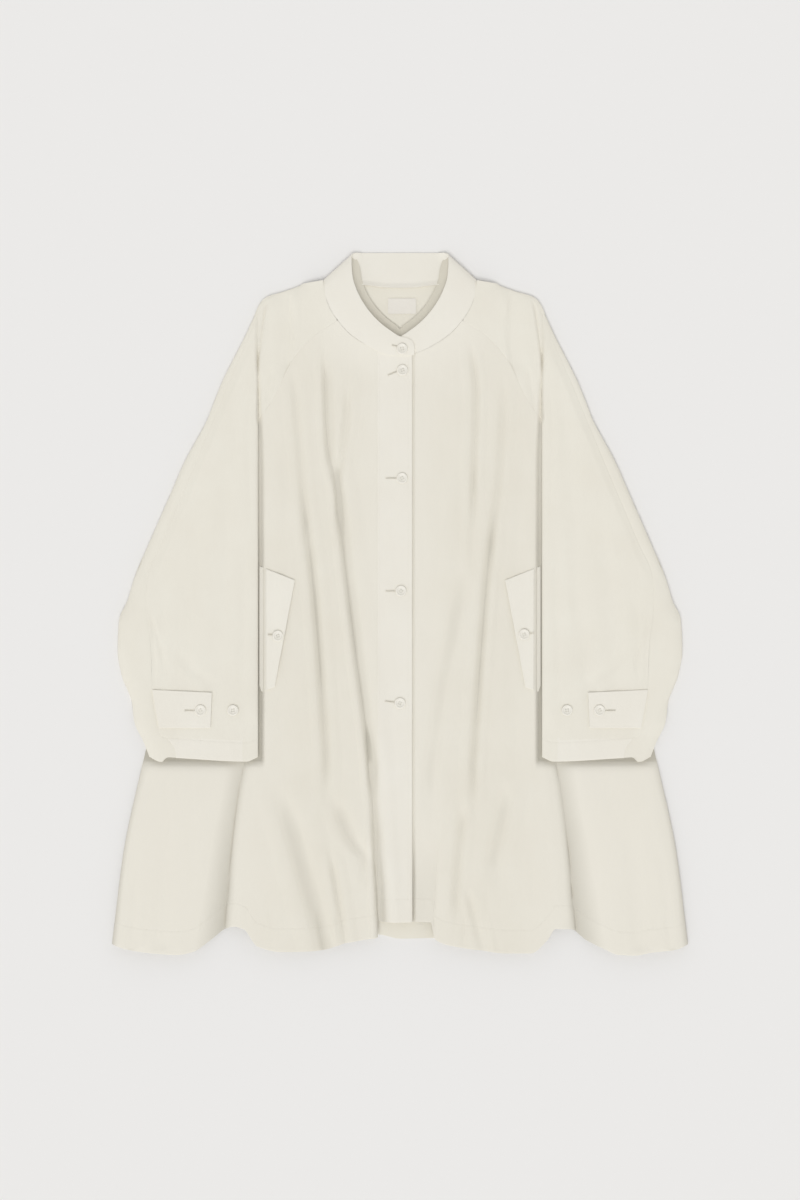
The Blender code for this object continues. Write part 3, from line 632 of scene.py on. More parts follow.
def cloth_material(name, colour, tint, weave_mm, weave_depth, painted_shade_tone=None, around_neck=False):
    """Plain-woven cloth: two crossed sets of threads, a fine fuzz and faint tone changes; given a
    painted shade tone, it also gets painted shade in hollows and gutters.
    """
    material, tree, shader, place = new_material(name, 0.78)
    shader.inputs["Sheen Weight"].default_value = 0.18
    shader.inputs["Sheen Roughness"].default_value = 0.45
    shader.inputs["Specular IOR Level"].default_value = 0.32
    base = two_tones(tree, noise_at(tree, place, 14.0, 3.0), colour, tint, (0.3, 0.7))
    if around_neck:
        base = colour_mix(tree, white_share(tree, place), base, WHITER)
    # Painted shade: the cloth's colour darkens where it sinks into hollows and gutters.
    if painted_shade_tone:
        base = colour_mix(tree, painted_shade_share(tree, place), base, painted_shade_tone)
    tree.links.new(base, shader.inputs["Base Color"])

    axes = axes_of(tree, place)
    threads = []
    for axis in ("X", "Y"):
        turns = add_node(tree, "ShaderNodeMath", operation="MULTIPLY")
        turns.inputs[1].default_value = 2.0 * math.pi / (weave_mm * MM)
        tree.links.new(axes[axis], turns.inputs[0])
        wave = add_node(tree, "ShaderNodeMath", operation="SINE")
        tree.links.new(turns.outputs[0], wave.inputs[0])
        threads.append(wave.outputs[0])
    fuzz = bump(tree, noise_at(tree, place, 260.0, 4.0), 0.25, 0.0004)
    woven = bump(tree, combine(tree, "MULTIPLY", *threads), 0.5, weave_depth * MM, fuzz)
    tree.links.new(woven, shader.inputs["Normal"])
    return material


def plain_material(name, colour, roughness, clouding=0.0, cloud_scale=300.0):
    """Moulded or spun stuff with a slight clouding of its colour."""
    material, tree, shader, place = new_material(name, roughness)
    clouded = [part * (1.0 - clouding) for part in colour]
    base = two_tones(tree, noise_at(tree, place, cloud_scale), clouded, colour)
    tree.links.new(base, shader.inputs["Base Color"])
    return material


WEAVE = (0.7, 0.06)
WHITER = (0.82, 0.787, 0.70)
# Darker cloth colour painted into hollows and gutters as shade, on the front, placket and flap
# finishes.
PAINTED_HOLLOW_SHADE = (0.455, 0.430, 0.362)
FRONT = cloth_material(
    "shell_cloth_front", (0.782, 0.744, 0.648), (0.80, 0.766, 0.674), *WEAVE, PAINTED_HOLLOW_SHADE, True)
SHELL = cloth_material("shell_cloth_finish", (0.80, 0.765, 0.672), (0.82, 0.79, 0.70), *WEAVE)
INNER = cloth_material("shell_cloth_inner", (0.80, 0.762, 0.66), (0.82, 0.785, 0.685), *WEAVE)
DOUBLE = cloth_material("shell_cloth_double", (0.82, 0.785, 0.70), (0.835, 0.805, 0.725), *WEAVE)
PLACKET = cloth_material(
    "shell_cloth_placket", (0.82, 0.785, 0.70), (0.835, 0.805, 0.725), *WEAVE, PAINTED_HOLLOW_SHADE)
BRIGHT = cloth_material("shell_cloth_flap", (0.825, 0.793, 0.708), (0.84, 0.81, 0.727), *WEAVE, PAINTED_HOLLOW_SHADE)
# Darker cloth that paints the shade inside the collar, on the band's inner faces.
PAINTED_SHADE_CLOTH = cloth_material("shell_cloth_painted_shade", (0.665, 0.628, 0.53), (0.685, 0.65, 0.555), *WEAVE)
RESIN = plain_material("button_resin_finish", (0.82, 0.79, 0.71), 0.36, 0.05, 180.0)
THREAD = plain_material("thread_finish", (0.82, 0.785, 0.695), 0.7, 0.08, 2500.0)
# Dark strand painted as the shade inside each buttonhole's slit.
SLIT_SHADE = plain_material("buttonhole_shade", (0.56, 0.53, 0.44), 0.9, 0.2, 900.0)
TAPE = cloth_material("label_tape_finish", (0.80, 0.765, 0.695), (0.82, 0.785, 0.715), 0.5, 0.05)


# Meshes

def place_piece(piece, nodes=()):
    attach(piece, "root")
    if nodes:
        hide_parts(*nodes)


def add_object(name, data):
    made = bpy.data.objects.new(name, data)
    bpy.context.scene.collection.objects.link(made)
    return made


def sheet_piece(name, points, material, wall=WALL):
    """A thin shell about a grid of points, its rim kept crisp."""
    rows, columns = points.shape[:2]
    index = np.arange(rows * columns).reshape(rows, columns)
    faces = np.stack([index[:-1, :-1], index[1:, :-1], index[1:, 1:], index[:-1, 1:]], axis=-1)
    mesh = bpy.data.meshes.new(name)
    mesh.from_pydata((points.reshape(-1, 3) * MM).tolist(), [], faces.reshape(-1, 4).tolist())
    piece = add_object(name, mesh)
    thicken = piece.modifiers.new("wall", "SOLIDIFY")
    thicken.thickness = wall * MM
    thicken.offset = 0.0
    graph = bpy.context.evaluated_depsgraph_get()
    walled = bpy.data.meshes.new_from_object(piece.evaluated_get(graph))
    piece.modifiers.clear()
    piece.data = walled
    walled.name = name
    walled.materials.clear()
    walled.materials.append(material)
    walled.shade_smooth()
    walled.set_sharp_from_angle(angle=math.radians(50))
    return piece


def lighten(piece, where):
    """Double cloth looks whiter: its faces get the lighter finish."""
    mesh = piece.data
    mesh.materials.append(DOUBLE)
    centres = np.empty(len(mesh.polygons) * 3)
    mesh.polygons.foreach_get("center", centres)
    centres = centres.reshape(-1, 3) / MM
    doubled = where(centres[:, 0], centres[:, 1]).astype(np.int32)
    mesh.polygons.foreach_set("material_index", doubled)
    mesh.update()


def stations(start, end, pitch, finer=()):
    """Even places from start to end, with finer steps about the named ones."""
    count = max(2, int(abs(end - start) / pitch) + 1)
    places = list(np.linspace(start, end, count))
    for place in finer:
        places += [place + step for step in (-3.0, -1.6, -0.7, 0.0, 0.7, 1.6, 3.0)]
    low, high = min(start, end), max(start, end)
    places = sorted({round(float(np.clip(place, low, high)), 3) for place in places})
    return np.array(places if end > start else places[::-1])


def columns_between(count, edge_steps, width):
    """Shares of a row from 0 to 1, with close steps at both edges."""
    inner = np.array(edge_steps) / width
    middle = np.linspace(inner[-1], 1.0 - inner[-1], count)
    return np.concatenate([inner[:-1], middle, 1.0 - inner[:-1][::-1]])


def hem_relief(x, above_hem, width):
    """A turned hem: double cloth, a stitched groove with puckers and a rolled edge."""
    double = 0.2 * ease((width + 0.5 - above_hem) / 1.2)
    groove = -0.14 * np.clip(1.0 - ((above_hem - width) / 1.8) ** 2, 0.0, 1.0)
    pucker = soft_noise(x, above_hem, 6.5, 40, 3.1) * np.exp(-((above_hem - width) / 9.0) ** 2)
    edge = soft_noise(x, above_hem, 9.0, 60, 6.2) * np.exp(-above_hem / 9.0)
    roll = -0.35 * (1.0 - swell(above_hem / 1.6))
    return double + groove + 0.4 * pucker + 0.22 * edge + roll


def seam_roll(distance):
    """Cloth rolls down a little into a sewn seam."""
    return -0.32 * (1.0 - swell(distance / 1.8))


def panel_points(x, y, foot, hem, height, hem_width):
    """Points of a panel whose foot is drawn to the hem line, with its hem's relief."""
    above_hem = y - foot
    y = y + (hem(x) - foot) * ease((130.0 - above_hem) / 85.0)
    z = height(x, y) + hem_relief(x, above_hem, hem_width)
    return np.stack([x, y, z], axis=-1)


EDGE_STEPS = (0.0, 0.5, 1.2, 2.4, 4.5)


def front_top(x):
    """Neck seam, raglan seam and the edge hidden by the sleeve, seen from the front panel."""
    y = np.linspace(RAGLAN_FOOT_Y, FRONT_RAGLAN[0][1], 160)
    raglan = np.interp(x, x_at(FRONT_RAGLAN, y)[::-1], y[::-1])
    hidden = np.interp(x, [SLEEVE_INNER_X, 254.0], [RAGLAN_FOOT_Y, 256.5])
    beyond_neck = np.where(x < SLEEVE_INNER_X, raglan, hidden)
    return np.where(x < FRONT_RAGLAN[0][0], y_at(NECK_SEAM, x), beyond_neck) - SEAM


def front_points(side, start, hem, height):
    """Grid of a front, whose columns hang from its top seams and fan out to the hem."""
    shares = columns_between(224, EDGE_STEPS, 300.0)
    hang = start + (253.85 - start) * shares
    seam_y = front_top(hang)
    down = np.concatenate([[0.0, 0.006, 0.014, 0.026], np.linspace(0.05, 1.0, 34)])[:, None]
    upper_y = seam_y + (UNDERARM_Y - seam_y) * down
    upper_x = np.repeat(hang[None, :], len(down), axis=0)
    rows = stations(UNDERARM_Y - 4.0, BODY_FOOT_Y, 5.0, (BODY_FOOT_Y + HEM_WIDTH, BODY_FOOT_Y))
    lower_y = np.repeat(rows[:, None], len(shares), axis=1)
    edge = x_at(BODY_SIDE, rows)[:, None] - 0.15
    lower_x = start + (edge - start) * shares
    x = side * np.concatenate([upper_x, lower_x])
    y = np.concatenate([upper_y, lower_y])
    points = panel_points(x, y, BODY_FOOT_Y, hem, height, HEM_WIDTH)
    raglan = 0.25 + 0.75 * ease((np.abs(x) - 86.0) / 6.0)
    points[..., 2] += raglan * seam_roll(np.clip(front_top(np.abs(x)) - y, 0.0, None))
    points[..., 2] += seam_roll(np.abs(x) - start) * (side < 0)
    return points


def make_fronts():
    points = front_points(
        -1, -PLACKET_OUTER_X + 0.1, lambda x: y_at(RIGHT_FRONT_HEM, x), right_front_height)
    right = sheet_piece("right_front_cloth", points, FRONT)
    place_piece(right, ["right_front"])
    points = front_points(1, -23.85, lambda x: y_at(LEFT_FRONT_HEM, x), left_front_height)
    left = sheet_piece("left_front_cloth", points, FRONT)
    place_piece(left, ["left_front"])


def make_placket():
    rows = stations(PLACKET_TOP_Y, PLACKET_HEM_Y, 4.0, (PLACKET_HEM_Y + HEM_WIDTH, PLACKET_HEM_Y))
    shares = columns_between(26, (0.0, 0.5, 1.2, 2.0), 49.0)
    width = PLACKET_FREE_X - PLACKET_OUTER_X - 0.1
    x, y = np.meshgrid(PLACKET_OUTER_X + 0.1 + width * shares, rows)
    y = y + (front_top(np.abs(x)) - PLACKET_TOP_Y) * ease((y - PLACKET_TOP_Y + 60.0) / 60.0)
    z = placket_height(x, y) + 0.8 * hem_relief(x, y - PLACKET_HEM_Y, HEM_WIDTH)
    z = z + seam_roll(x - PLACKET_OUTER_X) + 0.8 * seam_roll(PLACKET_FREE_X - x)
    piece = sheet_piece("placket_cloth", np.stack([x, y, z], axis=-1), PLACKET, THICK_WALL)
    place_piece(piece, ["placket"])


def make_back():
    """Back panel, flat below, with faint pressed creases."""
    rows = stations(456.0, BACK_FOOT_Y, 7.0, (BACK_FOOT_Y + HEM_WIDTH, BACK_FOOT_Y))
    shares = np.linspace(-1.0, 1.0, 161)
    y = np.repeat(rows[:, None], len(shares), axis=1)
    edge = np.where(y > UNDERARM_Y, x_at(BACK_RAGLAN, y), x_at(BODY_SIDE, y)) - 0.15
    x = edge * shares[None, :]
    dip = 2.4 * (1.0 - np.clip(np.abs(x) / 50.0, 0.0, 1.0) ** 2)
    y = y - dip * ease((y - 440.0) / 16.0)
    above_hem = y - BACK_FOOT_Y
    y = y + (y_at(BACK_HEM, x) - BACK_FOOT_Y) * ease((104.0 - above_hem) / 104.0)
    creases = np.clip(folds_at(BACK_FOLDS, x, y) + 0.5 * wrinkles(x + 900.0, y), -0.1, 0.6)
    z = 0.66 + np.clip(creases, 0.0, 0.5) + 0.08 * ease((HEM_WIDTH - above_hem) / 1.2)
    piece = sheet_piece("back_cloth", np.stack([x, y, z], axis=-1), INNER, WALL)
    place_piece(piece, ["back"])


def sleeve_inner(y):
    """Neck seam, raglan seam and inner fold in one line."""
    seam = np.where(y > FRONT_RAGLAN[0][1], x_at(NECK_SEAM, y), x_at(FRONT_RAGLAN, y))
    return np.where(y > RAGLAN_FOOT_Y, seam + SEAM, SLEEVE_INNER_X + SEAM)


def sleeve_rows():
    finer = (CUFF_Y + CUFF_HEM_WIDTH, CUFF_Y, 446.0, 437.0)
    shoulder = stations(SLEEVE_TOP_Y, RAGLAN_FOOT_Y - 12.0, 2.5, finer[2:])
    return np.concatenate([shoulder, stations(RAGLAN_FOOT_Y - 16.0, CUFF_Y, 4.2, finer[:2])])


def cuff_line(x):
    return y_at(CUFF_HEM, np.abs(x))


def shoulder_lift(x, y):
    """How far the top of the sleeve reaches up to the collar."""
    near_neck = 1.0 - np.clip((np.abs(x) - 107.0) / 36.0, 0.0, 1.0)
    return 5.5 * near_neck * ease((y - 430.0) / 26.0)


def make_sleeve(side, name):
    rows = sleeve_rows()
    shares = columns_between(112, EDGE_STEPS, 140.0)
    y = np.repeat(rows[:, None], len(shares), axis=1)
    near = sleeve_inner(y)
    reach = x_at(OVERARM_SEAM, y) - 0.15 - near
    x = side * (near + reach * shares)
    points = panel_points(x, y, CUFF_Y, cuff_line, sleeve_height, CUFF_HEM_WIDTH)
    points[..., 2] += seam_roll((1.0 - shares) * reach)
    raglan = (y > RAGLAN_FOOT_Y) * (1.0 - 0.75 * ease((y - 398.0) / 10.0))
    points[..., 2] += raglan * seam_roll(shares * reach)
    points[..., 1] += shoulder_lift(x, y)
    upper = sheet_piece(f"{name}_sleeve_front_cloth", points, SHELL)
    lighten(upper, lambda x, y: (y < CUFF_Y + CUFF_HEM_WIDTH) & (np.abs(x) > CUFF_FOLD_X))
    place_piece(upper, [f"{name}_sleeve_front"])
    sections = np.array([under_sleeve_section(row, side) for row in rows])
    above_hem = sections[..., 1] - CUFF_Y
    x = side * sections[..., 0]
    y = sections[..., 1] + (cuff_line(x) - CUFF_Y) * ease((130.0 - above_hem) / 85.0)
    y = y + shoulder_lift(x, sections[..., 1])
    points = np.stack([x, y, sections[..., 2]], axis=-1)
    under = sheet_piece(f"{name}_sleeve_back_cloth", points, SHELL)
    place_piece(under, [f"{name}_sleeve_back"])


def under_sleeve_section(y, side):
    """Section of the lower sleeve half: flat below, round the outer edge, up to the seam."""
    edge = float(x_at(SLEEVE_EDGE, y))
    seam = float(x_at(OVERARM_SEAM, y)) + 0.15
    if y > UNDERARM_Y:
        inner = float(x_at(BACK_RAGLAN, y)) + 0.15
    else:
        inner = float(np.interp(y, [238, UNDERARM_Y], [SLEEVE_INNER_X + 1.0, 254.0]))
    turn = min(6.0, 0.4 * (edge - inner))
    low_x = np.linspace(inner, edge - turn, 24)
    low_z = under_sleeve_height(low_x, y)
    start_z = float(low_z[-1])
    turn_z = start_z + 1.9
    angles = np.radians([12, 25, 38, 51, 64, 77, 90])
    under_x = edge - turn + turn * np.sin(angles)
    under_z = turn_z - (turn_z - start_z) * np.cos(angles)
    reach = edge - seam
    shares = np.array([0.012, 0.04, 0.09, 0.16, 0.25, 0.36, 0.48, 0.6, 0.72, 0.84, 0.93, 1.0])
    upper_x = edge - reach * shares
    upper_z = np.maximum(sleeve_height(side * upper_x, y), turn_z + 0.3)
    upper_z = upper_z + seam_roll((1.0 - shares) * reach)
    x = np.concatenate([low_x, under_x, upper_x])
    z = np.concatenate([low_z, under_z, upper_z])
    return np.stack([x, np.full_like(x, y), z], axis=-1)


def make_collar():
    """One band from the underlap round the back of the neck to the lap at the front."""
    right_half = []
    rises = [*LAP_RISE, *[0.0] * len(COLLAR)]
    drops = [*LAP_DROP, *[0.0] * len(COLLAR)]
    for row, rise, drop in zip(COLLAR[1:], rises, drops):
        seam_x, seam_y, seam_z, top_x, top_y, top_z = row
        right_half.append((-seam_x, seam_y - drop, seam_z + rise, -top_x, top_y, top_z + rise))
    left_half = [*COLLAR_UNDERLAP, *COLLAR[:-1]]
    band = np.array([*COLLAR_LAP, *right_half, *reversed(left_half)], float)
    along = lengths_along(band[:, 3:5])
    fine = np.linspace(0.0, along[-1], 420)
    band = np.stack([smooth_read(fine, along, band[:, i]) for i in range(6)], axis=-1)
    shares = columns_between(20, (0.0, 0.5, 1.2, 2.4), COLLAR_WIDTH)[None, :, None]
    points = band[:, None, :3] + (band[:, None, 3:] - band[:, None, :3]) * shares
    at_back = 1.0 - ease((band[:, None, 5] - 1.0) / 2.0)
    over_seam = 1.2 * at_back * (1.0 - ease(shares[..., 0] * COLLAR_WIDTH / 6.0))
    flat_back = band[:, None, 2] + (1.0 - band[:, None, 2]) * np.minimum(1.0, 8.0 * shares[..., 0])
    points[..., 2] = points[..., 2] * (1.0 - at_back) + (flat_back + over_seam) * at_back
    bow = COLLAR_BOW * np.sin(math.pi * shares[..., 0]) * ease((band[:, None, 5] - 6.0) / 4.0)
    across = COLLAR_WIDTH * shares[..., 0]
    points[..., 2] += bow + 0.18 * soft_noise(fine[:, None], across, 16, 30, 4.4)
    points[..., 2] = np.maximum(points[..., 2], 0.5 * COLLAR_WALL)
    piece = sheet_piece("collar_cloth", points, DOUBLE, COLLAR_WALL)
    place_piece(piece, ["collar"])


def make_collar_inside():
    """Inner face of the band's front half, which slants down into the neck opening, in a darker cloth
    that paints the shade inside the collar.
    """
    for name, side in (("right", -1), ("left", 1)):
        edge = np.array([row[3:] for row in COLLAR[:10]], float)
        along = lengths_along(edge)
        fine = np.linspace(0.0, along[-1], 90)
        top = np.stack([smooth_read(fine, along, edge[:, i]) for i in range(3)], axis=-1)
        run = np.gradient(top[:, :2], axis=0)
        run = run / np.linalg.norm(run, axis=1)[:, None]
        inward = np.stack([-run[:, 1], run[:, 0]], axis=-1)
        at_tip = ease(fine / 14.0)[:, None]
        inward = inward * at_tip + np.array([0.0, 1.0]) * (1.0 - at_tip)
        reach = INSIDE_REACH * (0.25 + 0.75 * swell((along[-1] - fine) / 26.0))[:, None, None]
        shares = np.linspace(0.0, 1.0, 12)[None, :, None]
        flat = top[:, None, :2] + inward[:, None, :] * reach * shares
        flat[..., 0] = np.maximum(flat[..., 0], 0.1)
        upper_z = top[:, 2][:, None] - 1.3
        low_z = np.minimum(upper_z, INSIDE_LOW_Z)
        z = upper_z + (low_z - upper_z) * swell(shares[..., 0] * 0.9 + 0.05)
        points = np.stack([side * flat[..., 0], flat[..., 1], z], axis=-1)
        piece = sheet_piece(f"{name}_collar_inner_face", points, PAINTED_SHADE_CLOTH, 0.8)
        place_piece(piece)


def patch_grid(corners, rows, columns, side):
    """Grid over a four-sided patch: x and y of its points, and their shares across and down."""
    corners = np.array(corners, float)
    down = columns_between(rows, (0.0, 0.5, 1.2, 2.2), 100.0)[:, None, None]
    across = columns_between(columns, (0.0, 0.5, 1.2, 2.2), 55.0)[None, :, None]
    top = corners[0] + (corners[1] - corners[0]) * across
    foot = corners[3] + (corners[2] - corners[3]) * across
    flat = top + (foot - top) * down
    return side * flat[..., 0], flat[..., 1], across[..., 0], down[..., 0]


def patch_relief(across, down, width, length):
    """Rolled edges of a patch and a row sunk by its stitches."""
    inside = np.minimum(across * width, (1.0 - across) * width)
    inside = np.minimum(inside, np.minimum(down * length, (1.0 - down) * length))
    sunk = -0.22 * np.clip(1.0 - ((inside - 3.2) / 1.3) ** 2, 0.0, 1.0)
    return sunk + 0.7 * seam_roll(inside)


def flap_height(x, y):
    """Flap on the front, bridging its hollows but following it down into the gutter."""
    front = right_front_height if np.mean(x) < 0 else left_front_height
    side = np.sign(np.mean(x))
    inward = [(-side * step, rise) for step in (0.0, 7.0, 14.0) for rise in (-14.0, 0.0, 14.0)]
    near = np.minimum(np.abs(x), 188.0) * side
    bridged = np.max([front(near + dx, y + dy) for dx, dy in inward], axis=0)
    drop = ease((np.abs(x) - x_at(GUTTER_EDGE, y) + 3.0) / 4.6)
    level = bridged + (height_row(y, LOWEST) + 0.15 - bridged) * drop
    return level + CLOTH + 0.35


def tab_height(x, y):
    return on_top(sleeve_height, x, y, 8.0) + CLOTH + 0.2


def make_flaps_and_tabs():
    for name, side in (("right", -1), ("left", 1)):
        x, y, across, down = patch_grid(FLAP_CORNERS, 70, 40, side)
        y = y + 9.0 * ease((0.16 - across) / 0.16) * ease((down - 0.92) / 0.08)
        z = flap_height(x, y) + patch_relief(across, down, 55.0, 160.0)
        z = z + 1.2 * across**3 * np.sin(math.pi * down) ** 0.5 + 0.3 * wrinkles(x + 300.0, y)
        points = np.stack([x, y, z], axis=-1)
        flap = sheet_piece(f"{name}_pocket_flap_cloth", points, BRIGHT, THICK_WALL)
        place_piece(flap, [f"{name}_pocket_flap"])
        x, y, across, down = patch_grid(TAB_CORNERS, 34, 60, side)
        z = tab_height(x, y) + patch_relief(across, down, 85.0, 52.0) + 0.5 * across**2
        points = np.stack([x, y, z], axis=-1)
        tab = sheet_piece(f"{name}_cuff_tab_cloth", points, DOUBLE, THICK_WALL)
        place_piece(tab, [f"{name}_cuff_tab"])


def make_label():
    x = LABEL_CENTRE[0] + np.linspace(-0.5, 0.5, 22) * LABEL_SIZE[0]
    y = LABEL_CENTRE[1] + np.linspace(0.5, -0.5, 14) * LABEL_SIZE[1]
    x, y = np.meshgrid(x, y)
    z = 2.25 + 0.12 * soft_noise(x, y, 14, 9, 1.7)
    piece = sheet_piece("neck_label_tape", np.stack([x, y, z], axis=-1), TAPE, 0.6)
    place_piece(piece, ["neck_label"])


def button_mesh():
    """A turned four-hole button: rounded rim, dished middle, holes cut through."""
    radius, thick = BUTTON_RADIUS, BUTTON_THICKNESS
    profile = [
        (0.0, 0.52 * thick), (0.50 * radius, 0.52 * thick), (0.62 * radius, 0.58 * thick),
        (0.72 * radius, 0.86 * thick), (0.80 * radius, thick), (0.90 * radius, 0.96 * thick),
        (0.97 * radius, 0.78 * thick), (radius, 0.5 * thick), (0.95 * radius, 0.2 * thick),
        (0.82 * radius, 0.0), (0.0, 0.0),
    ]
    steps = 48
    mesh = bpy.data.meshes.new("turned_button")
    vertices = [(0.0, 0.0, profile[0][1]), (0.0, 0.0, 0.0)]
    for step in range(steps):
        turn = 2.0 * math.pi * step / steps
        vertices += [(r * math.cos(turn), r * math.sin(turn), z) for r, z in profile[1:-1]]
    count = len(profile) - 2
    faces = []
    for step in range(steps):
        here = 2 + step * count
        there = 2 + (step + 1) % steps * count
        faces.append((0, here, there))
        faces.append((1, there + count - 1, here + count - 1))
        faces += [(here + i, here + i + 1, there + i + 1, there + i) for i in range(count - 1)]
    mesh.from_pydata((np.array(vertices) * MM).tolist(), [], faces)
    body = add_object("turned_button", mesh)
    drills = []
    for quarter in range(4):
        turn = math.pi / 4 + quarter * math.pi / 2
        place = (2.1 * math.cos(turn) * MM, 2.1 * math.sin(turn) * MM, 0.5 * thick * MM)
        bpy.ops.mesh.primitive_cylinder_add(vertices=16, radius=0.85 * MM, depth=3 * thick * MM)
        drill = bpy.context.object
        drill.location = place
        cut = body.modifiers.new("hole", "BOOLEAN")
        cut.object = drill
        cut.operation = "DIFFERENCE"
        drills.append(drill)
    graph = bpy.context.evaluated_depsgraph_get()
    drilled = bpy.data.meshes.new_from_object(body.evaluated_get(graph))
    for old in [body, *drills]:
        bpy.data.objects.remove(old, do_unlink=True)
    drilled.materials.clear()
    drilled.materials.append(RESIN)
    drilled.shade_smooth()
    drilled.set_sharp_from_angle(angle=math.radians(35))
    return drilled


def tube_faces(start, sides, rings):
    """Faces of a capped tube whose rings of points begin at start."""
    faces = []
    for ring in range(rings - 1):
        here = start + ring * sides
        for side in range(sides):
            after = (side + 1) % sides
            faces.append((here + side, here + after, here + sides + after, here + sides + side))
    faces.append(tuple(start + side for side in reversed(range(sides))))
    last = start + (rings - 1) * sides
    faces.append(tuple(last + side for side in range(sides)))
    return faces


def threads_piece(name, stitches, width, material=None):
    """Many short stitches as one mesh. Each is (start, end) in millimetres, humped between."""
    vertices, faces = [], []
    sides = 6
    profile = [
        (0.0, 0.35, -0.10), (0.12, 0.8, 0.05), (0.5, 1.0, 0.2), (0.88, 0.8, 0.05), (1.0, 0.35, -0.10),
    ]
    for start, end in stitches:
        start, end = np.array(start, float), np.array(end, float)
        run = end - start
        flat = np.array([-run[1], run[0], 0.0])
        flat = flat / max(np.linalg.norm(flat), 1e-9)
        first = len(vertices)
        for share, girth, rise in profile:
            centre = start + run * share + np.array([0.0, 0.0, rise * width])
            for side in range(sides):
                turn = 2.0 * math.pi * side / sides
                offset = flat * math.cos(turn) + np.array([0.0, 0.0, math.sin(turn)])
                vertices.append(centre + 0.5 * width * girth * offset)
        faces += tube_faces(first, sides, len(profile))
    mesh = bpy.data.meshes.new(name)
    mesh.from_pydata((np.array(vertices) * MM).tolist(), [], faces)
    mesh.materials.append(material or THREAD)
    mesh.shade_smooth()
    return add_object(name, mesh)


def stitch_run(path, ground, pitch=3.4, share=0.72, lift=0.0):
    """Stitches along a path of (x, y) points, lying on the ground height."""
    path = np.array(path, float)
    along = lengths_along(path)
    count = max(1, int(along[-1] / pitch))
    starts = np.arange(count) * along[-1] / count
    ends = starts + share * along[-1] / count
    points = []
    for at in (starts, ends):
        x = np.interp(at, along, path[:, 0])
        y = np.interp(at, along, path[:, 1])
        points.append(np.stack([x, y, ground(x, y) + lift], axis=-1))
    return list(zip(points[0], points[1]))


def make_button(name, mesh, x, y, ground, tilt):
    """A button with its sewing thread, standing on the highest cloth below it."""
    turns = np.linspace(0.0, 2.0 * math.pi, 16, endpoint=False)
    around = ground(x + BUTTON_RADIUS * np.cos(turns), y + BUTTON_RADIUS * np.sin(turns))
    top = max(float(np.max(around)), float(np.max(ground(np.array([x]), np.array([y])))))
    z = top + 0.05
    button = add_object(f"{name}_turned", mesh)
    button.location = (x * MM, y * MM, z * MM)
    button.rotation_euler = (0.0, 0.0, tilt)
    place_piece(button, [name])
    turn = np.array([[math.cos(tilt), -math.sin(tilt)], [math.sin(tilt), math.cos(tilt)]])
    seat = z + 0.52 * BUTTON_THICKNESS - 0.1
    stitches = []
    for row in (-1.5, 1.5):
        for strand in (-0.32, 0.0, 0.32):
            ends = [turn @ np.array([reach, row + strand]) for reach in (-1.75, 1.75)]
            stitches.append(tuple((x + end[0], y + end[1], seat) for end in ends))
    thread = threads_piece(f"{name}_thread", stitches, 0.55)
    place_piece(thread)


def buttonhole(name, x0, y0, x1, y1, ground):
    """A worked buttonhole from (x0, y0) to (x1, y1): a slit, drawn as a dark strand of painted shade,
    between two rows of close stitches.
    """
    start, end = np.array([x0, y0], float), np.array([x1, y1], float)
    length = np.linalg.norm(end - start)
    direction = (end - start) / length
    normal = np.array([-direction[1], direction[0]])

    def stitch(points, lift):
        return tuple((*p, float(ground(np.array(p[0]), np.array(p[1]))) + lift) for p in points)

    stitches = []
    for at in np.arange(0.0, length, 0.62):
        for side in (-1, 1):
            middle = start + direction * at
            ends = [middle + normal * side * reach for reach in (0.25, 1.55)]
            stitches.append(stitch(ends, 0.18))
    for at in (-0.4, length + 0.1):
        for step in (0.0, 0.45):
            middle = start + direction * (at + step)
            stitches.append(stitch((middle - normal * 1.6, middle + normal * 1.6), 0.26))
    worked = threads_piece(f"{name}_stitches", stitches, 0.42)
    place_piece(worked)
    slit = threads_piece(f"{name}_slit", [stitch((start, end), 0.12)], 0.4, SLIT_SHADE)
    place_piece(slit)


def make_buttons():
    mesh = button_mesh()
    half = THICK_WALL / 2
    seam_y, seam_z = COLLAR_LAP[-1][1:3]
    top_y, top_z = COLLAR_LAP[-1][4:]

    def on_placket(x, y):
        return placket_height(x, y) + half

    def on_lap(x, y):
        along = np.clip((y - seam_y) / (top_y - seam_y), 0.0, 1.0)
        bow = COLLAR_BOW * np.sin(math.pi * along)
        return seam_z + (top_z - seam_z) * along + bow + COLLAR_WALL / 2

    def on_flap(x, y):
        return flap_height(x, y) + half + 0.5

    def on_tab(x, y):
        return tab_height(x, y) + half + 0.2

    def on_sleeve(x, y):
        return sleeve_height(x, y) + WALL / 2

    for number, (x, y) in enumerate(FRONT_BUTTONS, start=1):
        ground = on_lap if number == 1 else on_placket
        make_button(f"front_button_{number}", mesh, x, y, ground, 0.2 * number)
    for number, ends in enumerate(FRONT_HOLES, start=1):
        ground = on_lap if number == 1 else on_placket
        buttonhole(f"front_buttonhole_{number}", *ends, ground)
    for name, side in (("right", -1), ("left", 1)):
        x, y = POCKET_BUTTONS[name]
        make_button(f"{name}_pocket_button", mesh, x, y, on_flap, 0.3)
        buttonhole(f"{name}_pocket_buttonhole", x + side * 2, y + 1, x + side * 14, y + 2, on_flap)
        make_button(f"{name}_tab_button", mesh, side * 284, -152, on_tab, 0.5)
        buttonhole(f"{name}_tab_buttonhole", side * 287, -152, side * 306, -152, on_tab)
        make_button(f"{name}_spare_button", mesh, side * 238, -152, on_sleeve, 0.1)


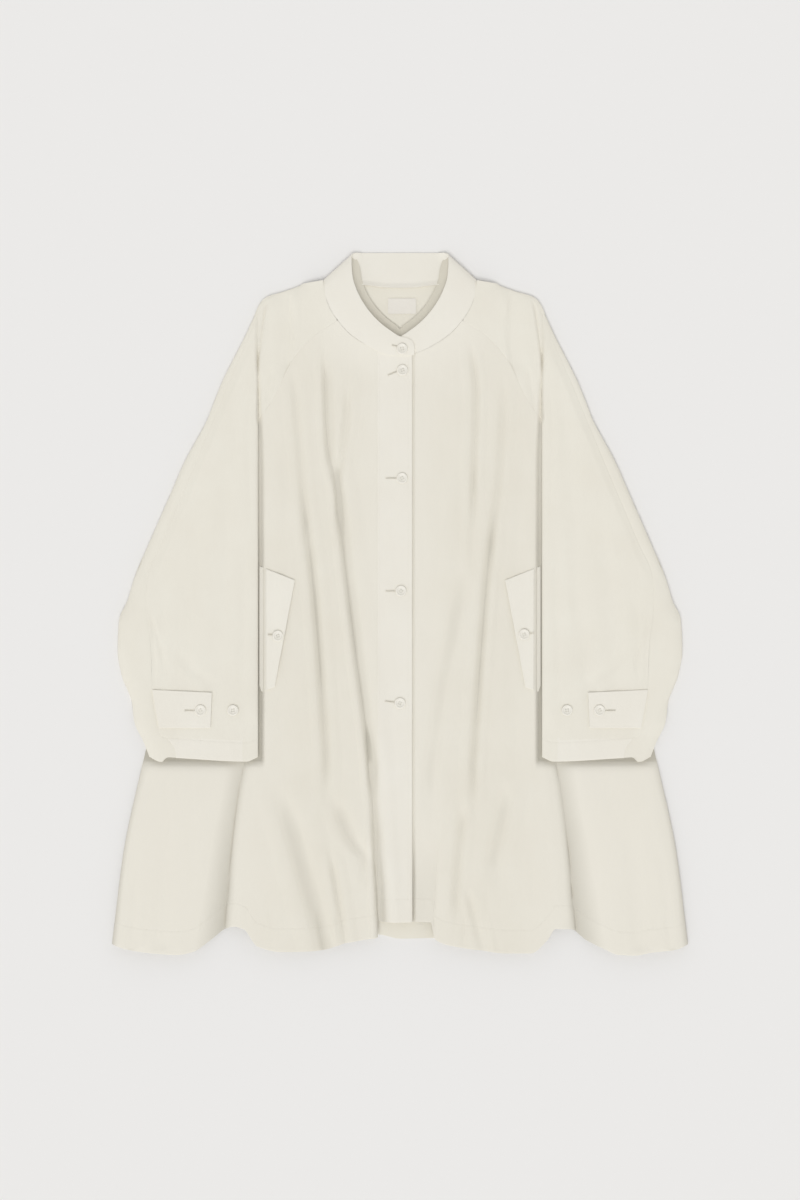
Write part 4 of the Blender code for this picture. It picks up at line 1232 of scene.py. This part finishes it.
def make_stitching():
    """Rows of topstitching, one joined mesh for each stitched part."""
    half = WALL / 2

    def hem_row(table, ground, low, high, width):
        x = np.linspace(low, high, 160)
        return stitch_run(np.stack([x, y_at(table, x) + width], axis=-1), ground)

    rows = {
        "right_front_hem_stitches": hem_row(
            RIGHT_FRONT_HEM, lambda x, y: right_front_height(x, y) + half - 0.2, -405, -34, HEM_WIDTH),
        "left_front_hem_stitches": hem_row(
            LEFT_FRONT_HEM, lambda x, y: left_front_height(x, y) + half - 0.2, 20, 405, HEM_WIDTH),
    }
    y = np.linspace(PLACKET_TOP_Y - 2.0, PLACKET_HEM_Y + 3.0, 120)
    placket = []
    for x in (PLACKET_OUTER_X + 2.4, PLACKET_FREE_X - 5.5):
        path = np.stack([np.full_like(y, x), y], axis=-1)
        placket += stitch_run(path, lambda x, y: placket_height(x, y) + 0.7)
    x = np.linspace(PLACKET_OUTER_X + 8.0, PLACKET_FREE_X - 1.0, 12)
    path = np.stack([x, np.full_like(x, PLACKET_HEM_Y + HEM_WIDTH)], axis=-1)
    placket += stitch_run(path, lambda x, y: placket_height(x, y) + 0.6)
    rows["placket_stitches"] = placket
    for name, side in (("right", -1), ("left", 1)):
        x = side * np.linspace(205.0, 321.0, 60)
        path = np.stack([x, cuff_line(x) + CUFF_HEM_WIDTH], axis=-1)
        rows[f"{name}_cuff_stitches"] = stitch_run(path, lambda x, y: sleeve_height(x, y) + half - 0.2)
    for name, stitches in rows.items():
        place_piece(threads_piece(name, stitches, 0.32))


def make_stage():
    """Plain pale floor, soft even light from above and from the lower left, and the camera."""
    floor_mesh = bpy.data.meshes.new("floor")
    reach = 12.0
    corners = [(-reach, -reach, 0), (reach, -reach, 0), (reach, reach, 0), (-reach, reach, 0)]
    floor_mesh.from_pydata(corners, [], [(0, 1, 2, 3)])
    floor = add_object("floor", floor_mesh)
    floor.location.z = -0.0003
    floor_mesh.materials.append(plain_material("floor_paper", (0.83, 0.82, 0.805), 0.95))

    world = bpy.data.worlds.new("studio")
    world.use_nodes = True
    tree = world.node_tree
    sky = tree.nodes["Background"]
    sky.inputs["Color"].default_value = (1.0, 1.0, 1.0, 1.0)
    direction = add_node(tree, "ShaderNodeTexCoord").outputs["Generated"]
    falloff = map_range(
        tree, axes_of(tree, direction)["Z"], 0.0, 1.0, SKY_AT_HORIZON, SKY_OVERHEAD)
    tree.links.new(falloff, sky.inputs["Strength"])
    bpy.context.scene.world = world
    light = bpy.data.lights.new("key", "SUN")
    light.energy = KEY_STRENGTH
    light.angle = math.radians(KEY_SPREAD)
    lamp = add_object("key", light)
    lamp.rotation_euler = [math.radians(part) for part in KEY_TILT]

    camera_data = bpy.data.cameras.new("camera")
    camera_data.sensor_fit = "VERTICAL"
    camera_data.sensor_height = SENSOR_MM
    camera_data.lens = SENSOR_MM * CAMERA_HEIGHT_MM / VIEW_HEIGHT_MM
    camera = add_object("camera", camera_data)
    camera.location = (0.0, VIEW_CENTRE_Y * MM, CAMERA_HEIGHT_MM * MM)
    bpy.context.scene.camera = camera
    bpy.context.scene.view_settings.view_transform = "Standard"


def main():
    make_stage()
    make_back()
    make_fronts()
    make_placket()
    make_sleeve(-1, "right")
    make_sleeve(1, "left")
    make_collar()
    make_collar_inside()
    make_flaps_and_tabs()
    make_label()
    make_buttons()
    make_stitching()


main()
